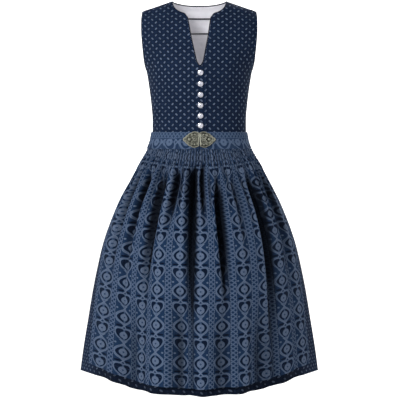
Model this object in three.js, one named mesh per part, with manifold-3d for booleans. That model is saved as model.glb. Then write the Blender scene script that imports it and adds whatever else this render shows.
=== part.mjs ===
// Dirndl: a sleeveless buttoned bodice, a gathered skirt, and an apron whose band closes on a clasp.
// It keeps the hollow form of a worn garment. Millimetres, +Z up, +Y to the back and +X to the
// wearer's left. Heights (h) count up from the band's top edge at the waist, drops count down.

import * as THREE from 'three';
import { mergeVertices } from 'three/addons/utils/BufferGeometryUtils.js';
import Module from 'manifold-3d';

const CLOTH = 1.5;
const LINING = 1.0;
const BAND_CLOTH = 2.0;
const SEAM_GAP = 0.3;

// Where the wearer's shoulders carry the dress, which is the origin of the part.
const SHOULDER_REST = { y: 16, h: 350 };

const BODICE_BOTTOM = -18;
const SHOULDER_TIP = { x: 157, h: 337 };
const NECK_POINT_H = 365;
// The back neck dips in its middle. Its shares run from there out to the neck point.
const BACK_NECK = { dip: 8, curve: 2.5, shares: [0, 0.33, 0.64, 0.87] };
const SHOULDER_STEPS = 7;
// How far either side of a point its slope is measured.
const PROBE = 0.5;

// Level sections of the body form, as half ellipses in front of and behind their centre line.
const BODY_SECTIONS = [
  { h: -20, halfWidth: 131.6, front: 99, back: 96, centre: -4 },
  { h: 0, halfWidth: 130.4, front: 96, back: 92, centre: -4 },
  { h: 35, halfWidth: 130.4, front: 97, back: 92, centre: -4 },
  { h: 70, halfWidth: 133, front: 103, back: 95, centre: -3 },
  { h: 105, halfWidth: 137, front: 113, back: 100, centre: -2 },
  { h: 140, halfWidth: 142, front: 122, back: 105, centre: -1 },
  { h: 172, halfWidth: 148, front: 126, back: 108, centre: 0 },
  { h: 205, halfWidth: 165, front: 124, back: 109, centre: 2 },
  { h: 240, halfWidth: 180, front: 116, back: 107, centre: 5 },
  { h: 275, halfWidth: 187, front: 104, back: 101, centre: 8 },
  { h: 305, halfWidth: 184, front: 90, back: 89, centre: 11 },
  { h: 327, halfWidth: 169, front: 74, back: 72, centre: 14 },
  { h: 337, halfWidth: 157, front: 68, back: 65, centre: 14.5 },
  { h: 345, halfWidth: 134.4, front: 62, back: 59, centre: 16 },
  { h: 356, halfWidth: 103.3, front: 50, back: 49, centre: 17 },
  { h: 366, halfWidth: 75, front: 38, back: 37, centre: 18 },
];

// Outer edges of the front and back panels from the underarm to the shoulder tip.
const ARMHOLE = [
  { h: 172, front: 148, back: 148 },
  { h: 180, front: 149.2, back: 148.6 },
  { h: 193, front: 150.9, back: 149 },
  { h: 215, front: 152.7, back: 149.5 },
  { h: 245, front: 155.3, back: 151.5 },
  { h: 280, front: 157.6, back: 154.5 },
  { h: 310, front: 158, back: 156.5 },
  { h: 337, front: 157, back: 157 },
];

// Rows of the bodice panels: their height at the neck or slit edge and at the side or armhole edge.
const PANEL_ROWS = [
  { inner: -18, outer: -18 },
  { inner: 10, outer: 10 },
  { inner: 40, outer: 40 },
  { inner: 72, outer: 72 },
  { inner: 103, outer: 103 },
  { inner: 129, outer: 128 },
  { inner: 152, outer: 150 },
  { inner: 170, outer: 172 },
  { inner: 177, outer: 180 },
  { inner: 188, outer: 193 },
  { inner: 207, outer: 214 },
  { inner: 235, outer: 243 },
  { inner: 262, outer: 275 },
  { inner: 287, outer: 302 },
  { inner: 303, outer: 321 },
  { inner: 311, outer: 332 },
  { inner: 315, outer: 337 },
];

// Front neck edge from the slit's corner up to the neck point.
const NECK_EDGE = [
  { x: 36.5, h: 315 },
  { x: 41, h: 322 },
  { x: 54.5, h: 327.8 },
  { x: 66.5, h: 336.5 },
  { x: 73.5, h: 348 },
];

// Slit in the front: half its width, and where its middle lies.
const SLIT = [
  { h: 177, half: 4, axis: 2 },
  { h: 188, half: 10.2, axis: 1.8 },
  { h: 207, half: 14.4, axis: 1.6 },
  { h: 235, half: 20.2, axis: 1.1 },
  { h: 262, half: 25.4, axis: 0.7 },
  { h: 287, half: 29.3, axis: 0.3 },
  { h: 303, half: 32, axis: 0 },
  { h: 311, half: 33.6, axis: 0 },
  { h: 315, half: 36.5, axis: 0 },
];
const SLIT_BOTTOM = 172;
const STAND = { overlap: 17, underlap: 14, lift: 2.7, flat: 20, fades: 32, full: 180, gone: 215 };

const PIPING = { radius: 1.3, sides: 6, gap: 0.8 };
// The lining's distance inside the back, and how far it stops short of the back's top edge, as a
// share of the last row.
const LINING_EDGE = { gap: 0.5, top: 0.35 };
const TAPES = [
  { name: 'lining_tape_upper', h: 326 },
  { name: 'lining_tape_lower', h: 284 },
];
const TAPE = { width: 3.6, thickness: 0.8, gap: 0.6 };

const BUTTON_X = 3.2;
const BUTTON_HEIGHTS = [158.4, 128.5, 100, 71.5, 43.5, 17.5];
const BUTTON_SEGMENTS = 12;
const BUTTON_GAP = 0.4;
// Half section of a button: distance from its axis and height over the cloth.
const BUTTON_PROFILE = [
  { r: 0, z: 0 },
  { r: 4.6, z: 0 },
  { r: 7.4, z: 1.1 },
  { r: 7.3, z: 2 },
  { r: 5.9, z: 2.7 },
  { r: 5.2, z: 2.4 },
  { r: 2.6, z: 3.9 },
  { r: 1.4, z: 3.4 },
  { r: 0, z: 3.4 },
];

// Outer sections of the apron's band, which flares over the hips.
const BAND_SECTIONS = [
  { drop: 0, halfWidth: 133.4, front: 102.4, back: 96.3 },
  { drop: 18, halfWidth: 137, front: 105.8, back: 100.6 },
  { drop: 34, halfWidth: 141.8, front: 109.8, back: 105.8 },
  { drop: 46, halfWidth: 146.5, front: 113.8, back: 110.5 },
];
const BAND_STEPS = 48;
const BAND_GAP_ANGLE = 0.4;

// Outer sections of the skirt, from an ellipse at the waist (corner 1) to a lens at the hem, whose
// front and back are two parabolas that meet in blunt corners at the sides (corner 2).
const SKIRT_CENTRE = -4;
const SMALLEST_COSINE = 1e-3;
const SKIRT_SECTIONS = [
  { drop: 18, halfWidth: 131.4, front: 99.3, back: 96.3, corner: 1 },
  { drop: 46, halfWidth: 140, front: 108, back: 105, corner: 1 },
  { drop: 75, halfWidth: 156, front: 122, back: 120, corner: 1 },
  { drop: 97, halfWidth: 169, front: 134, back: 131, corner: 1.02 },
  { drop: 127, halfWidth: 186, front: 150, back: 147, corner: 1.06 },
  { drop: 184, halfWidth: 219, front: 178, back: 175, corner: 1.16 },
  { drop: 247, halfWidth: 247, front: 203, back: 200, corner: 1.3 },
  { drop: 311, halfWidth: 269, front: 222, back: 220, corner: 1.44 },
  { drop: 378, halfWidth: 285, front: 237, back: 235, corner: 1.58 },
  { drop: 448, halfWidth: 299, front: 250, back: 248, corner: 1.7 },
  { drop: 526, halfWidth: 312, front: 262, back: 260, corner: 1.81 },
  { drop: 605, halfWidth: 325, front: 272, back: 270, corner: 1.9 },
  { drop: 672, halfWidth: 334, front: 280, back: 278, corner: 1.95 },
];
// Hems: how far the edge drops at each angle from the centre.
const SKIRT_HEM = [
  { angle: 0, drop: 672 },
  { angle: 34, drop: 671 },
  { angle: 51, drop: 662 },
  { angle: 75, drop: 666 },
  { angle: 90, drop: 668 },
];
const APRON_HEM = [
  { angle: 0, drop: 652 },
  { angle: 28, drop: 649 },
  { angle: 43, drop: 642 },
  { angle: 56, drop: 637 },
  { angle: 80, drop: 636 },
];
const APRON_EDGE = [
  { drop: 46, angle: 80 },
  { drop: 250, angle: 77 },
  { drop: 450, angle: 71 },
  { drop: 652, angle: 66 },
];
const APRON_LIFT = 4.5;

const APRON_ROWS = [46.6, 60, 76, 90, 108, 140, 185, 240, 310, 395, 480, 565, 652];
const SKIRT_FRONT_ROWS = [18.4, 60, 110, 175, 250, 340, 450, 560, 672];
const SKIRT_BACK_ROWS = [18.4, 46, 62, 80, 102, 145, 205, 290, 400, 530, 672];
const APRON_COLUMNS = 80;
const SKIRT_FRONT_COLUMNS = 48;
const SKIRT_BACK_COLUMNS = 68;

// Gathers: every second column stands out, from the waist to where the head lets the cloth go.
const GATHERS = { raised: 1.3, starts: 30, full: 46, holds: 78, gone: 110 };

// Folds that run down from the gathers. "at" is the fold's place between the panel's centre (0)
// and its edge (1), "width" its half width and "depth" how far it falls in, and the drops say
// where it starts, is deepest and has run out but for its last share, "rest".
const APRON_FOLDS = [
  { at: -0.78, width: 13, depth: 9, start: 110, deepest: 230, out: 430, rest: 0.2 },
  { at: -0.6, width: 10, depth: 15, start: 95, deepest: 230, out: 430, rest: 0.2 },
  { at: -0.4, width: 9, depth: 24, start: 105, deepest: 270, out: 420, rest: 0.1 },
  { at: -0.25, width: 8, depth: 18, start: 95, deepest: 170, out: 270, rest: 0 },
  { at: -0.05, width: 9.5, depth: 28, start: 82, deepest: 260, out: 500, rest: 0.15 },
  { at: 0.05, width: 6.5, depth: 12, start: 88, deepest: 160, out: 250, rest: 0 },
  { at: 0.2, width: 9.5, depth: 25, start: 110, deepest: 280, out: 430, rest: 0.1 },
  { at: 0.375, width: 9, depth: 8, start: 100, deepest: 210, out: 380, rest: 0.2 },
  { at: 0.575, width: 12, depth: 18, start: 105, deepest: 230, out: 560, rest: 0.2 },
  { at: 0.8, width: 13, depth: 10, start: 110, deepest: 250, out: 480, rest: 0.2 },
  { at: -0.5, width: 24, depth: 6, start: 380, deepest: 600, out: 700, rest: 1 },
  { at: -0.15, width: 22, depth: 8, start: 330, deepest: 560, out: 700, rest: 1 },
  { at: 0.15, width: 20, depth: 7, start: 380, deepest: 580, out: 700, rest: 1 },
  { at: 0.45, width: 24, depth: 8, start: 380, deepest: 600, out: 700, rest: 1 },
];
const SKIRT_BACK_FOLDS = [
  { at: -0.82, width: 13, depth: 10, start: 100, deepest: 240, out: 460, rest: 0.25 },
  { at: -0.62, width: 11, depth: 16, start: 92, deepest: 250, out: 480, rest: 0.2 },
  { at: -0.44, width: 10, depth: 21, start: 98, deepest: 230, out: 440, rest: 0.15 },
  { at: -0.235, width: 10, depth: 17, start: 86, deepest: 200, out: 380, rest: 0.1 },
  { at: -0.09, width: 10, depth: 24, start: 90, deepest: 270, out: 520, rest: 0.2 },
  { at: 0.09, width: 8, depth: 14, start: 94, deepest: 180, out: 320, rest: 0 },
  { at: 0.265, width: 10, depth: 24, start: 88, deepest: 260, out: 470, rest: 0.15 },
  { at: 0.44, width: 10, depth: 13, start: 96, deepest: 210, out: 400, rest: 0.2 },
  { at: 0.65, width: 12, depth: 19, start: 90, deepest: 250, out: 520, rest: 0.2 },
  { at: 0.82, width: 13, depth: 9, start: 104, deepest: 230, out: 440, rest: 0.25 },
  { at: -0.35, width: 26, depth: 7, start: 380, deepest: 600, out: 700, rest: 1 },
  { at: 0.0, width: 24, depth: 8, start: 400, deepest: 600, out: 700, rest: 1 },
  { at: 0.35, width: 26, depth: 7, start: 380, deepest: 600, out: 700, rest: 1 },
];
// The skirt falls in further and wider than the apron before it, so that the two stay clear.
const UNDER_FOLD = { width: 1.6, depth: 1.15 };

// One half of the clasp, from the middle of the pair out to its tip: half its height above and
// below its own middle line.
const CLASP_OUTLINE = [
  { x: 0, top: 18.6, bottom: 18.6 },
  { x: 5.5, top: 21.2, bottom: 20.6 },
  { x: 11.5, top: 22.4, bottom: 22.2 },
  { x: 17.5, top: 21, bottom: 21 },
  { x: 21, top: 18.6, bottom: 18.8 },
  { x: 26, top: 17.6, bottom: 17.6 },
  { x: 30.5, top: 13.4, bottom: 13.6 },
  { x: 34.5, top: 11, bottom: 11 },
  { x: 38, top: 6.6, bottom: 6.8 },
  { x: 41.5, top: 5, bottom: 5 },
  { x: 43.8, top: 1.6, bottom: 1.6 },
];
const CLASP = {
  length: 43.8, seatX: 21.5, dropZ: 21, plate: 1.4, rim: 1, rimWidth: 2.2, seat: 0.3, halfGap: 0.65,
};
const CLASP_TIP_HOLE = { x: 38.6, y: 0, r: 2.5, sides: 10 };
// Half the clasp's height where its outline runs out to a point.
const CLASP_POINT = 0.8;
const CLASP_BOSSES = [
  { x: 25, y: 2, r: 5.4, rise: 3.2 },
  { x: 11.5, y: 13.4, r: 3.6, rise: 2.2 },
  { x: 11.5, y: -13.4, r: 3.6, rise: 2.2 },
];
const CLASP_BAR = { x: 2.2, halfWidth: 1.5, halfHeight: 15.5, rise: 2.6 };
const BOSS_SEGMENTS = { round: 10, down: 5 };
const CLASP_RINGS = [
  { x: 12.5, y: 1.2, r: 7 },
  { x: 29, y: -9, r: 4 },
];
const RING = { tube: 1, sides: 5, steps: 9 };

const NAVY_COTTON = new THREE.MeshStandardMaterial({ color: 0x273348, roughness: 0.9 });
const APRON_COTTON = new THREE.MeshStandardMaterial({ color: 0x384a62, roughness: 0.88 });
const WHITE_COTTON = new THREE.MeshStandardMaterial({ color: 0xcfced3, roughness: 0.92 });
const DARK_BINDING = new THREE.MeshStandardMaterial({ color: 0x161d2b, roughness: 0.85 });
const GREY_TAPE = new THREE.MeshStandardMaterial({ color: 0x4a4b50, roughness: 0.85 });
const BRIGHT_METAL = new THREE.MeshStandardMaterial({ color: 0x9fa1ae, roughness: 0.3, metalness: 1 });
const OLD_SILVER = new THREE.MeshStandardMaterial({ color: 0x7a7b74, roughness: 0.42, metalness: 1 });

const wasm = await Module();
wasm.setup();

const { clamp, degToRad, inverseLerp, lerp, smoothstep } = THREE.MathUtils;

/** A smooth curve through one column of a table, which doesn't overshoot between its rows. */
function curveThrough(rows, key, value) {
  const xs = rows.map((row) => row[key]);
  const ys = rows.map((row) => row[value]);
  const slopes = xs.slice(1).map((x, i) => (ys[i + 1] - ys[i]) / (x - xs[i]));
  const tangents = xs.map((_, i) => {
    if (i === 0) return slopes[0];
    if (i === slopes.length) return slopes[i - 1];
    const product = slopes[i - 1] * slopes[i];
    return product <= 0 ? 0 : (2 * product) / (slopes[i - 1] + slopes[i]);
  });
  return (x) => {
    const at = clamp(x, xs[0], xs[xs.length - 1]);
    let i = 0;
    while (i < slopes.length - 1 && at > xs[i + 1]) i += 1;
    const step = xs[i + 1] - xs[i];
    const t = (at - xs[i]) / step;
    const bulge = t * (1 - t) * step;
    const chord = lerp(ys[i], ys[i + 1], t * t * (3 - 2 * t));
    return chord + bulge * ((1 - t) * tangents[i] - t * tangents[i + 1]);
  };
}

/** One curve for each of the named columns of a table. */
function sectionCurves(rows, key, names) {
  const curves = names.map((name) => curveThrough(rows, key, name));
  return (x) => Object.fromEntries(names.map((name, i) => [name, curves[i](x)]));
}

const bodySection = sectionCurves(BODY_SECTIONS, 'h', ['halfWidth', 'front', 'back', 'centre']);
const bandSection = sectionCurves(BAND_SECTIONS, 'drop', ['halfWidth', 'front', 'back']);
const skirtSection = sectionCurves(SKIRT_SECTIONS, 'drop', ['halfWidth', 'front', 'back', 'corner']);
const skirtHem = curveThrough(SKIRT_HEM, 'angle', 'drop');
const apronHem = curveThrough(APRON_HEM, 'angle', 'drop');
const apronEdge = curveThrough(APRON_EDGE, 'drop', 'angle');
const slitHalf = curveThrough(SLIT, 'h', 'half');
const slitAxis = curveThrough(SLIT, 'h', 'axis');
const armholeEdge = sectionCurves(ARMHOLE, 'h', ['front', 'back']);

/** Closes an outer and an inner grid of points into one wall; a ring has no side edges. */
function wallGeometry(outer, inner) {
  const rows = outer.length;
  const columns = outer[0].length;
  const positions = [...outer.flat(), ...inner.flat()].flatMap((p) => [p.x, p.y, p.z]);
  const index = [];
  const quad = (a, b, c, d) => index.push(a, b, c, a, c, d);
  const out = (j, i) => j * columns + i;
  const into = (j, i) => (rows + j) * columns + i;
  for (let j = 0; j < rows - 1; j += 1) {
    for (let i = 0; i < columns - 1; i += 1) {
      quad(out(j, i), out(j, i + 1), out(j + 1, i + 1), out(j + 1, i));
      quad(into(j, i), into(j + 1, i), into(j + 1, i + 1), into(j, i + 1));
    }
    quad(out(j, 0), out(j + 1, 0), into(j + 1, 0), into(j, 0));
    quad(out(j, columns - 1), into(j, columns - 1), into(j + 1, columns - 1), out(j + 1, columns - 1));
  }
  for (let i = 0; i < columns - 1; i += 1) {
    quad(out(0, i), into(0, i), into(0, i + 1), out(0, i + 1));
    quad(out(rows - 1, i), out(rows - 1, i + 1), into(rows - 1, i + 1), into(rows - 1, i));
  }
  return facingOut(positions, index);
}

/** A geometry from points and triangles, turned so that its faces point outwards. */
function facingOut(positions, index) {
  const at = (k) => new THREE.Vector3().fromArray(positions, 3 * k);
  let volume = 0;
  for (let t = 0; t < index.length; t += 3) {
    volume += at(index[t]).dot(at(index[t + 1]).cross(at(index[t + 2])));
  }
  const turned = volume < 0 ? index.slice().reverse() : index;
  const geometry = new THREE.BufferGeometry();
  geometry.setAttribute('position', new THREE.Float32BufferAttribute(positions, 3));
  geometry.setIndex(turned);
  geometry.computeVertexNormals();
  return geometry;
}

/** Moves each point of a grid of frames in along its normal. */
function movedIn(frames, distance) {
  return frames.map((row) => row.map(({ point, normal }) => (
    point.clone().addScaledVector(normal, -distance))));
}

/** Point and outward normal of the body form at a distance from its middle and a height. */
function bodyFrame(x, h, facing) {
  const section = bodySection(h);
  const above = bodySection(h + PROBE);
  const below = bodySection(h - PROBE);
  const slope = (name) => (above[name] - below[name]) / (2 * PROBE);
  const way = facing === 'front' ? -1 : 1;
  const depth = section[facing];
  const sin = clamp(x / section.halfWidth, -1, 1);
  const cos = Math.sqrt(1 - sin * sin);
  const rise = cos * section.halfWidth * (slope('centre') + way * slope(facing) * cos);
  const normal = new THREE.Vector3(
    depth * sin,
    way * section.halfWidth * cos,
    -way * rise - depth * slope('halfWidth') * sin * sin,
  );
  return {
    point: new THREE.Vector3(x, section.centre + way * depth * cos, h),
    normal: normal.normalize(),
  };
}

/** Columns of a bodice panel along its top edge, out to the shoulder tip. */
function panelColumns(neckEdge) {
  const shoulder = Array.from({ length: SHOULDER_STEPS + 1 }, (_, i) => {
    const h = lerp(NECK_POINT_H, SHOULDER_TIP.h, Math.sin((Math.PI / 2) * (i / SHOULDER_STEPS)));
    return { x: bodySection(h).halfWidth, h };
  });
  const start = neckEdge[0].x;
  return [...neckEdge, ...shoulder].map(({ x, h }) => ({
    top: h,
    share: (x - start) / (SHOULDER_TIP.x - start),
  }));
}

/** Distance of a panel's outer edge from the middle: the side seam, then the armhole. */
function outerEdge(h, facing) {
  return h < ARMHOLE[0].h ? bodySection(h).halfWidth : armholeEdge(h)[facing];
}

/** A grid of frames for a bodice panel between its inner and outer edge on one side. */
function panelGrid(side, facing, neckEdge, innerEdge, lift) {
  const way = facing === 'front' ? -1 : 1;
  const columns = panelColumns(neckEdge);
  return PANEL_ROWS.map((row) => columns.map(({ top, share }) => {
    const innerLevel = inverseLerp(BODICE_BOTTOM, PANEL_ROWS.at(-1).inner, row.inner);
    const outerLevel = inverseLerp(BODICE_BOTTOM, SHOULDER_TIP.h, row.outer);
    const h = lerp(BODICE_BOTTOM, top, lerp(innerLevel, outerLevel, share));
    const across = lerp(innerEdge(row.inner), outerEdge(row.outer, facing), share);
    const frame = bodyFrame(side * across, h, facing);
    frame.point.y += way * (SEAM_GAP / 2);
    frame.point.addScaledVector(frame.normal, lift(across, h));
    return frame;
  }));
}

/** The front on one side. The right front lies on top at the button stand. */
function frontGrid(side) {
  const onTop = side < 0;
  const standEdge = onTop ? -STAND.overlap : -STAND.underlap;
  const innerEdge = (h) => (h < SLIT_BOTTOM ? standEdge : slitHalf(h) + side * slitAxis(h));
  const lift = (across, h) => (onTop ? STAND.lift : 0)
    * (1 - smoothstep(across, STAND.flat, STAND.fades)) * (1 - smoothstep(h, STAND.full, STAND.gone));
  return panelGrid(side, 'front', NECK_EDGE, innerEdge, lift);
}

/** The back, from the left shoulder across to the right. */
function backGrid() {
  const neckX = bodySection(NECK_POINT_H).halfWidth;
  const neckEdge = BACK_NECK.shares.map((share) => ({
    x: share * neckX,
    h: NECK_POINT_H - BACK_NECK.dip * (1 - share ** BACK_NECK.curve),
  }));
  const half = (side) => panelGrid(side, 'back', neckEdge, () => 0, () => 0);
  const mirrored = half(-1);
  return half(1).map((row, j) => [...mirrored[j].slice(1).reverse(), ...row]);
}

/** A piece of cloth whose outer face is the given grid. */
function clothFrom(frames, thickness) {
  return wallGeometry(movedIn(frames, 0), movedIn(frames, thickness));
}

/** The back's lining: every second column of the back but the outermost, moved in clear of it. */
function liningGrid(back) {
  const inset = CLOTH + LINING_EDGE.gap;
  const towards = (frame, other, share) => ({
    point: frame.point.clone().lerp(other.point, share),
    normal: frame.normal.clone().lerp(other.normal, share).normalize(),
  });
  const below = back.at(-2);
  const rows = back.slice(0, -1);
  rows.push(back.at(-1).map((frame, i) => towards(frame, below[i], LINING_EDGE.top)));
  return rows.map((row) => row.filter((_, i) => i % 2 === 1).map(({ point, normal }) => ({
    point: point.clone().addScaledVector(normal, -inset),
    normal,
  })));
}

/** A frame on a grid's column where it reaches the height h. */
function atHeight(grid, column, h) {
  const j = grid.findIndex((row, k) => k > 0 && row[column].point.z >= h);
  const low = grid[j - 1][column];
  const high = grid[j][column];
  const t = inverseLerp(low.point.z, high.point.z, h);
  return {
    point: low.point.clone().lerp(high.point, t),
    normal: low.normal.clone().lerp(high.normal, t).normalize(),
  };
}

/** A narrow tape across the middle of the lining's inner face. */
function tapeGeometry(lining, h) {
  const middle = (lining[0].length - 1) / 2;
  const columns = [-2, -1, 0, 1, 2].map((step) => middle + step);
  const frames = [h - TAPE.width / 2, h + TAPE.width / 2].map((level) => (
    columns.map((column) => atHeight(lining, column, level))));
  const face = LINING + TAPE.gap;
  return wallGeometry(movedIn(frames, face), movedIn(frames, face + TAPE.thickness));
}

/** Stations of a piping along an edge: its centre line, kept clear of the cloth, and its frame. */
function pipingStations(edge, closed) {
  const middles = edge.map(({ point, normal }) => point.clone().addScaledVector(normal, -CLOTH / 2));
  const count = middles.length;
  const segmentOut = (i) => {
    const a = middles[(i + count) % count];
    const b = middles[(i + 1 + count) % count];
    const facing = edge[(i + count) % count].normal.clone().add(edge[(i + 1 + count) % count].normal);
    return b.clone().sub(a).cross(facing).normalize();
  };
  return edge.map(({ normal }, i) => {
    const before = closed || i > 0 ? segmentOut(i - 1) : segmentOut(i);
    const after = closed || i < count - 1 ? segmentOut(i) : segmentOut(i - 1);
    const out = before.clone().add(after).normalize();
    const reach = (PIPING.radius + PIPING.gap) / out.dot(after);
    return { centre: middles[i].clone().addScaledVector(out, reach), out, up: normal };
  });
}

/** A round cord laid along its stations, closed to a ring or with flat ends. */
function pipingGeometry(edge, closed) {
  const rings = pipingStations(edge, closed).map(({ centre, out, up }) => (
    Array.from({ length: PIPING.sides }, (_, k) => {
      const turn = (2 * Math.PI * k) / PIPING.sides;
      return centre.clone().addScaledVector(out, PIPING.radius * Math.cos(turn))
        .addScaledVector(up, PIPING.radius * Math.sin(turn));
    })));
  const index = [];
  const at = (ring, k) => (ring % rings.length) * PIPING.sides + (k % PIPING.sides);
  const spans = closed ? rings.length : rings.length - 1;
  for (let ring = 0; ring < spans; ring += 1) {
    for (let k = 0; k < PIPING.sides; k += 1) {
      index.push(at(ring, k), at(ring + 1, k), at(ring + 1, k + 1));
      index.push(at(ring, k), at(ring + 1, k + 1), at(ring, k + 1));
    }
  }
  for (let k = 1; !closed && k < PIPING.sides - 1; k += 1) {
    index.push(at(0, 0), at(0, k), at(0, k + 1));
    index.push(at(spans, 0), at(spans, k + 1), at(spans, k));
  }
  return facingOut(rings.flat().flatMap((p) => [p.x, p.y, p.z]), index);
}

/** One frame midway between two that lie across a seam. */
function between(a, b) {
  return {
    point: a.point.clone().lerp(b.point, 0.5),
    normal: a.normal.clone().add(b.normal).normalize(),
  };
}

/** The neck's edge, from the slit up the right front, round the back and down the left front. */
function neckEdgeFrames(right, left, back) {
  const slitRow = PANEL_ROWS.findIndex((row) => row.inner > SLIT_BOTTOM);
  const neckColumns = NECK_EDGE.length;
  const frontEdge = (grid) => {
    const slit = grid.slice(slitRow).map((row) => row[0]);
    slit[0] = between(slit[0], between(slit[0], slit[1]));
    return [...slit, ...grid.at(-1).slice(1, neckColumns)];
  };
  const top = back.at(-1);
  const neck = top.slice(SHOULDER_STEPS, top.length - SHOULDER_STEPS);
  return [
    ...frontEdge(right),
    between(right.at(-1)[neckColumns], neck[0]),
    ...neck.slice(1, -1),
    between(left.at(-1)[neckColumns], neck.at(-1)),
    ...frontEdge(left).reverse(),
  ];
}

/** An armhole's edge: down the front, under the arm and up the back, or the other way round. */
function armholeEdgeFrames(front, back, side) {
  const underarm = PANEL_ROWS.findIndex((row) => row.outer >= ARMHOLE[0].h);
  const backColumn = side < 0 ? 0 : back[0].length - 1;
  const down = front.slice(underarm).map((row) => row.at(-1)).reverse();
  const up = back.slice(underarm).map((row) => row[backColumn]);
  const loop = [
    between(down[0], up.at(-1)),
    ...down.slice(1, -1),
    between(down.at(-1), up[0]),
    ...up.slice(1, -1),
  ];
  return side < 0 ? loop : loop.reverse();
}

/** Point and normal on a front panel's facets at x and h. */
function spotOn(grid, x, h) {
  const column = grid[0].findIndex((_, i) => i > 0
    && (atHeight(grid, i, h).point.x - x) * (atHeight(grid, i - 1, h).point.x - x) <= 0);
  const a = atHeight(grid, column - 1, h);
  const b = atHeight(grid, column, h);
  const reach = BUTTON_PROFILE[2].r;
  const up = atHeight(grid, column, h + reach).point.sub(atHeight(grid, column, h - reach).point);
  const normal = b.point.clone().sub(a.point).cross(up).normalize();
  const t = inverseLerp(a.point.x, b.point.x, x);
  return { point: a.point.clone().lerp(b.point, t), normal: normal.y > 0 ? normal.negate() : normal };
}

/** A domed button turned about its shank, lying on the cloth at a height. */
function buttonMesh(name, panel, h) {
  const profile = BUTTON_PROFILE.map(({ r, z }) => new THREE.Vector2(r, z));
  const geometry = new THREE.LatheGeometry(profile, BUTTON_SEGMENTS);
  const mesh = new THREE.Mesh(geometry, BRIGHT_METAL);
  const { point, normal } = spotOn(panel, BUTTON_X, h);
  mesh.name = name;
  mesh.position.copy(point.addScaledVector(normal, BUTTON_GAP));
  mesh.quaternion.setFromUnitVectors(new THREE.Vector3(0, 1, 0), normal);
  return mesh;
}

/** Point and outward normal on the band's outer face, at an angle from the centre front. */
function bandFrame(angle, drop) {
  const at = (turn, down) => {
    const section = bandSection(down);
    const cos = Math.cos(turn);
    const depth = cos > 0 ? section.front : section.back;
    return new THREE.Vector3(section.halfWidth * Math.sin(turn), SKIRT_CENTRE - depth * cos, -down);
  };
  const turn = PROBE / bandSection(drop).halfWidth;
  const along = at(angle + turn, drop).sub(at(angle - turn, drop));
  const up = at(angle, drop - PROBE).sub(at(angle, drop + PROBE));
  return { point: at(angle, drop), normal: along.cross(up).normalize() };
}

/** The band, a ring that is open behind the clasp. */
function bandGeometry() {
  const gap = degToRad(BAND_GAP_ANGLE);
  const frames = BAND_SECTIONS.map(({ drop }) => Array.from({ length: BAND_STEPS + 1 }, (_, i) => (
    bandFrame(gap + ((2 * Math.PI - 2 * gap) * i) / BAND_STEPS, drop))));
  frames.flat().forEach(({ normal }) => normal.setZ(0).normalize());
  return clothFrom(frames, BAND_CLOTH);
}

/** Point on the skirt's outer form at an angle from the centre front, and its level normal. */
function skirtPoint(angle, drop, raised) {
  const section = skirtSection(drop);
  const turn = degToRad(angle);
  const sin = Math.sin(turn);
  const cos = Math.cos(turn);
  const depth = cos > 0 ? section.front : section.back;
  const size = Math.max(Math.abs(cos), SMALLEST_COSINE);
  const point = new THREE.Vector3(
    section.halfWidth * sin,
    SKIRT_CENTRE - depth * Math.sign(cos) * size ** section.corner,
    -drop,
  );
  const level = new THREE.Vector3(
    depth * section.corner * size ** (section.corner - 2) * sin,
    -section.halfWidth * Math.sign(cos),
    0,
  ).normalize();
  return point.addScaledVector(level, raised);
}

/** How far the folds let the cloth fall in at a place between a panel's centre and its edge. */
function foldDepth(folds, place, edgeAngle, drop, under) {
  const section = skirtSection(drop);
  const reach = degToRad(edgeAngle) * 0.5 * (section.halfWidth + section.front);
  const widen = under ? UNDER_FOLD.width : 1;
  const deepen = under ? UNDER_FOLD.depth : 1;
  return folds.reduce((sum, fold) => {
    const away = ((place - fold.at) * reach) / (fold.width * widen);
    const opens = smoothstep(drop, fold.start, fold.deepest);
    const closes = 1 - (1 - fold.rest) * smoothstep(drop, fold.deepest, fold.out);
    return sum + deepen * fold.depth * opens * closes * Math.exp(-0.5 * away * away);
  }, 0);
}

/** A skirt panel's two grids: the outer one carries the gathers, the inner one is plain. */
function skirtWall({ rows, columns, edgeAngle, facing, hem, lift, folds, gathered }) {
  const turned = facing === 'back' ? 180 : 0;
  const hemDrop = rows.at(-1);
  const plain = rows.map((row) => Array.from({ length: columns + 1 }, (_, i) => {
    const place = (2 * i) / columns - 1;
    const angle = edgeAngle(row) * place;
    const drop = lerp(rows[0], hem(Math.abs(angle)), inverseLerp(rows[0], hemDrop, row));
    return { angle: angle + turned, drop, raised: lift - folds(place, angle, drop) };
  }));
  const points = plain.map((row) => row.map((p) => skirtPoint(p.angle, p.drop, p.raised)));
  const way = facing === 'back' ? 1 : -1;
  const normals = points.map((row, j) => row.map((_, i) => {
    const along = row[Math.min(i + 1, columns)].clone().sub(row[Math.max(i - 1, 0)]);
    const high = points[Math.max(j - 1, 0)][i];
    const low = points[Math.min(j + 1, rows.length - 1)][i];
    const normal = along.cross(high.clone().sub(low)).normalize();
    if ((i === 0 || i === columns) && edgeAngle(0) === 90) normal.setY(0).normalize();
    return normal;
  }));
  const outer = points.map((row, j) => row.map((point, i) => {
    const { drop } = plain[j][i];
    const held = smoothstep(drop, GATHERS.starts, GATHERS.full)
      * (1 - smoothstep(drop, GATHERS.holds, GATHERS.gone));
    const raised = gathered && i % 2 === 1 ? GATHERS.raised * held : 0;
    return point.clone().addScaledVector(normals[j][i], raised);
  }));
  const inner = points.map((row, j) => row.map((point, i) => (
    point.clone().addScaledVector(normals[j][i], -CLOTH))));
  const seam = new THREE.Vector3(0, way * (SEAM_GAP / 2), 0);
  [...outer.flat(), ...inner.flat()].forEach((point) => point.add(seam));
  return wallGeometry(outer, inner);
}

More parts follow.
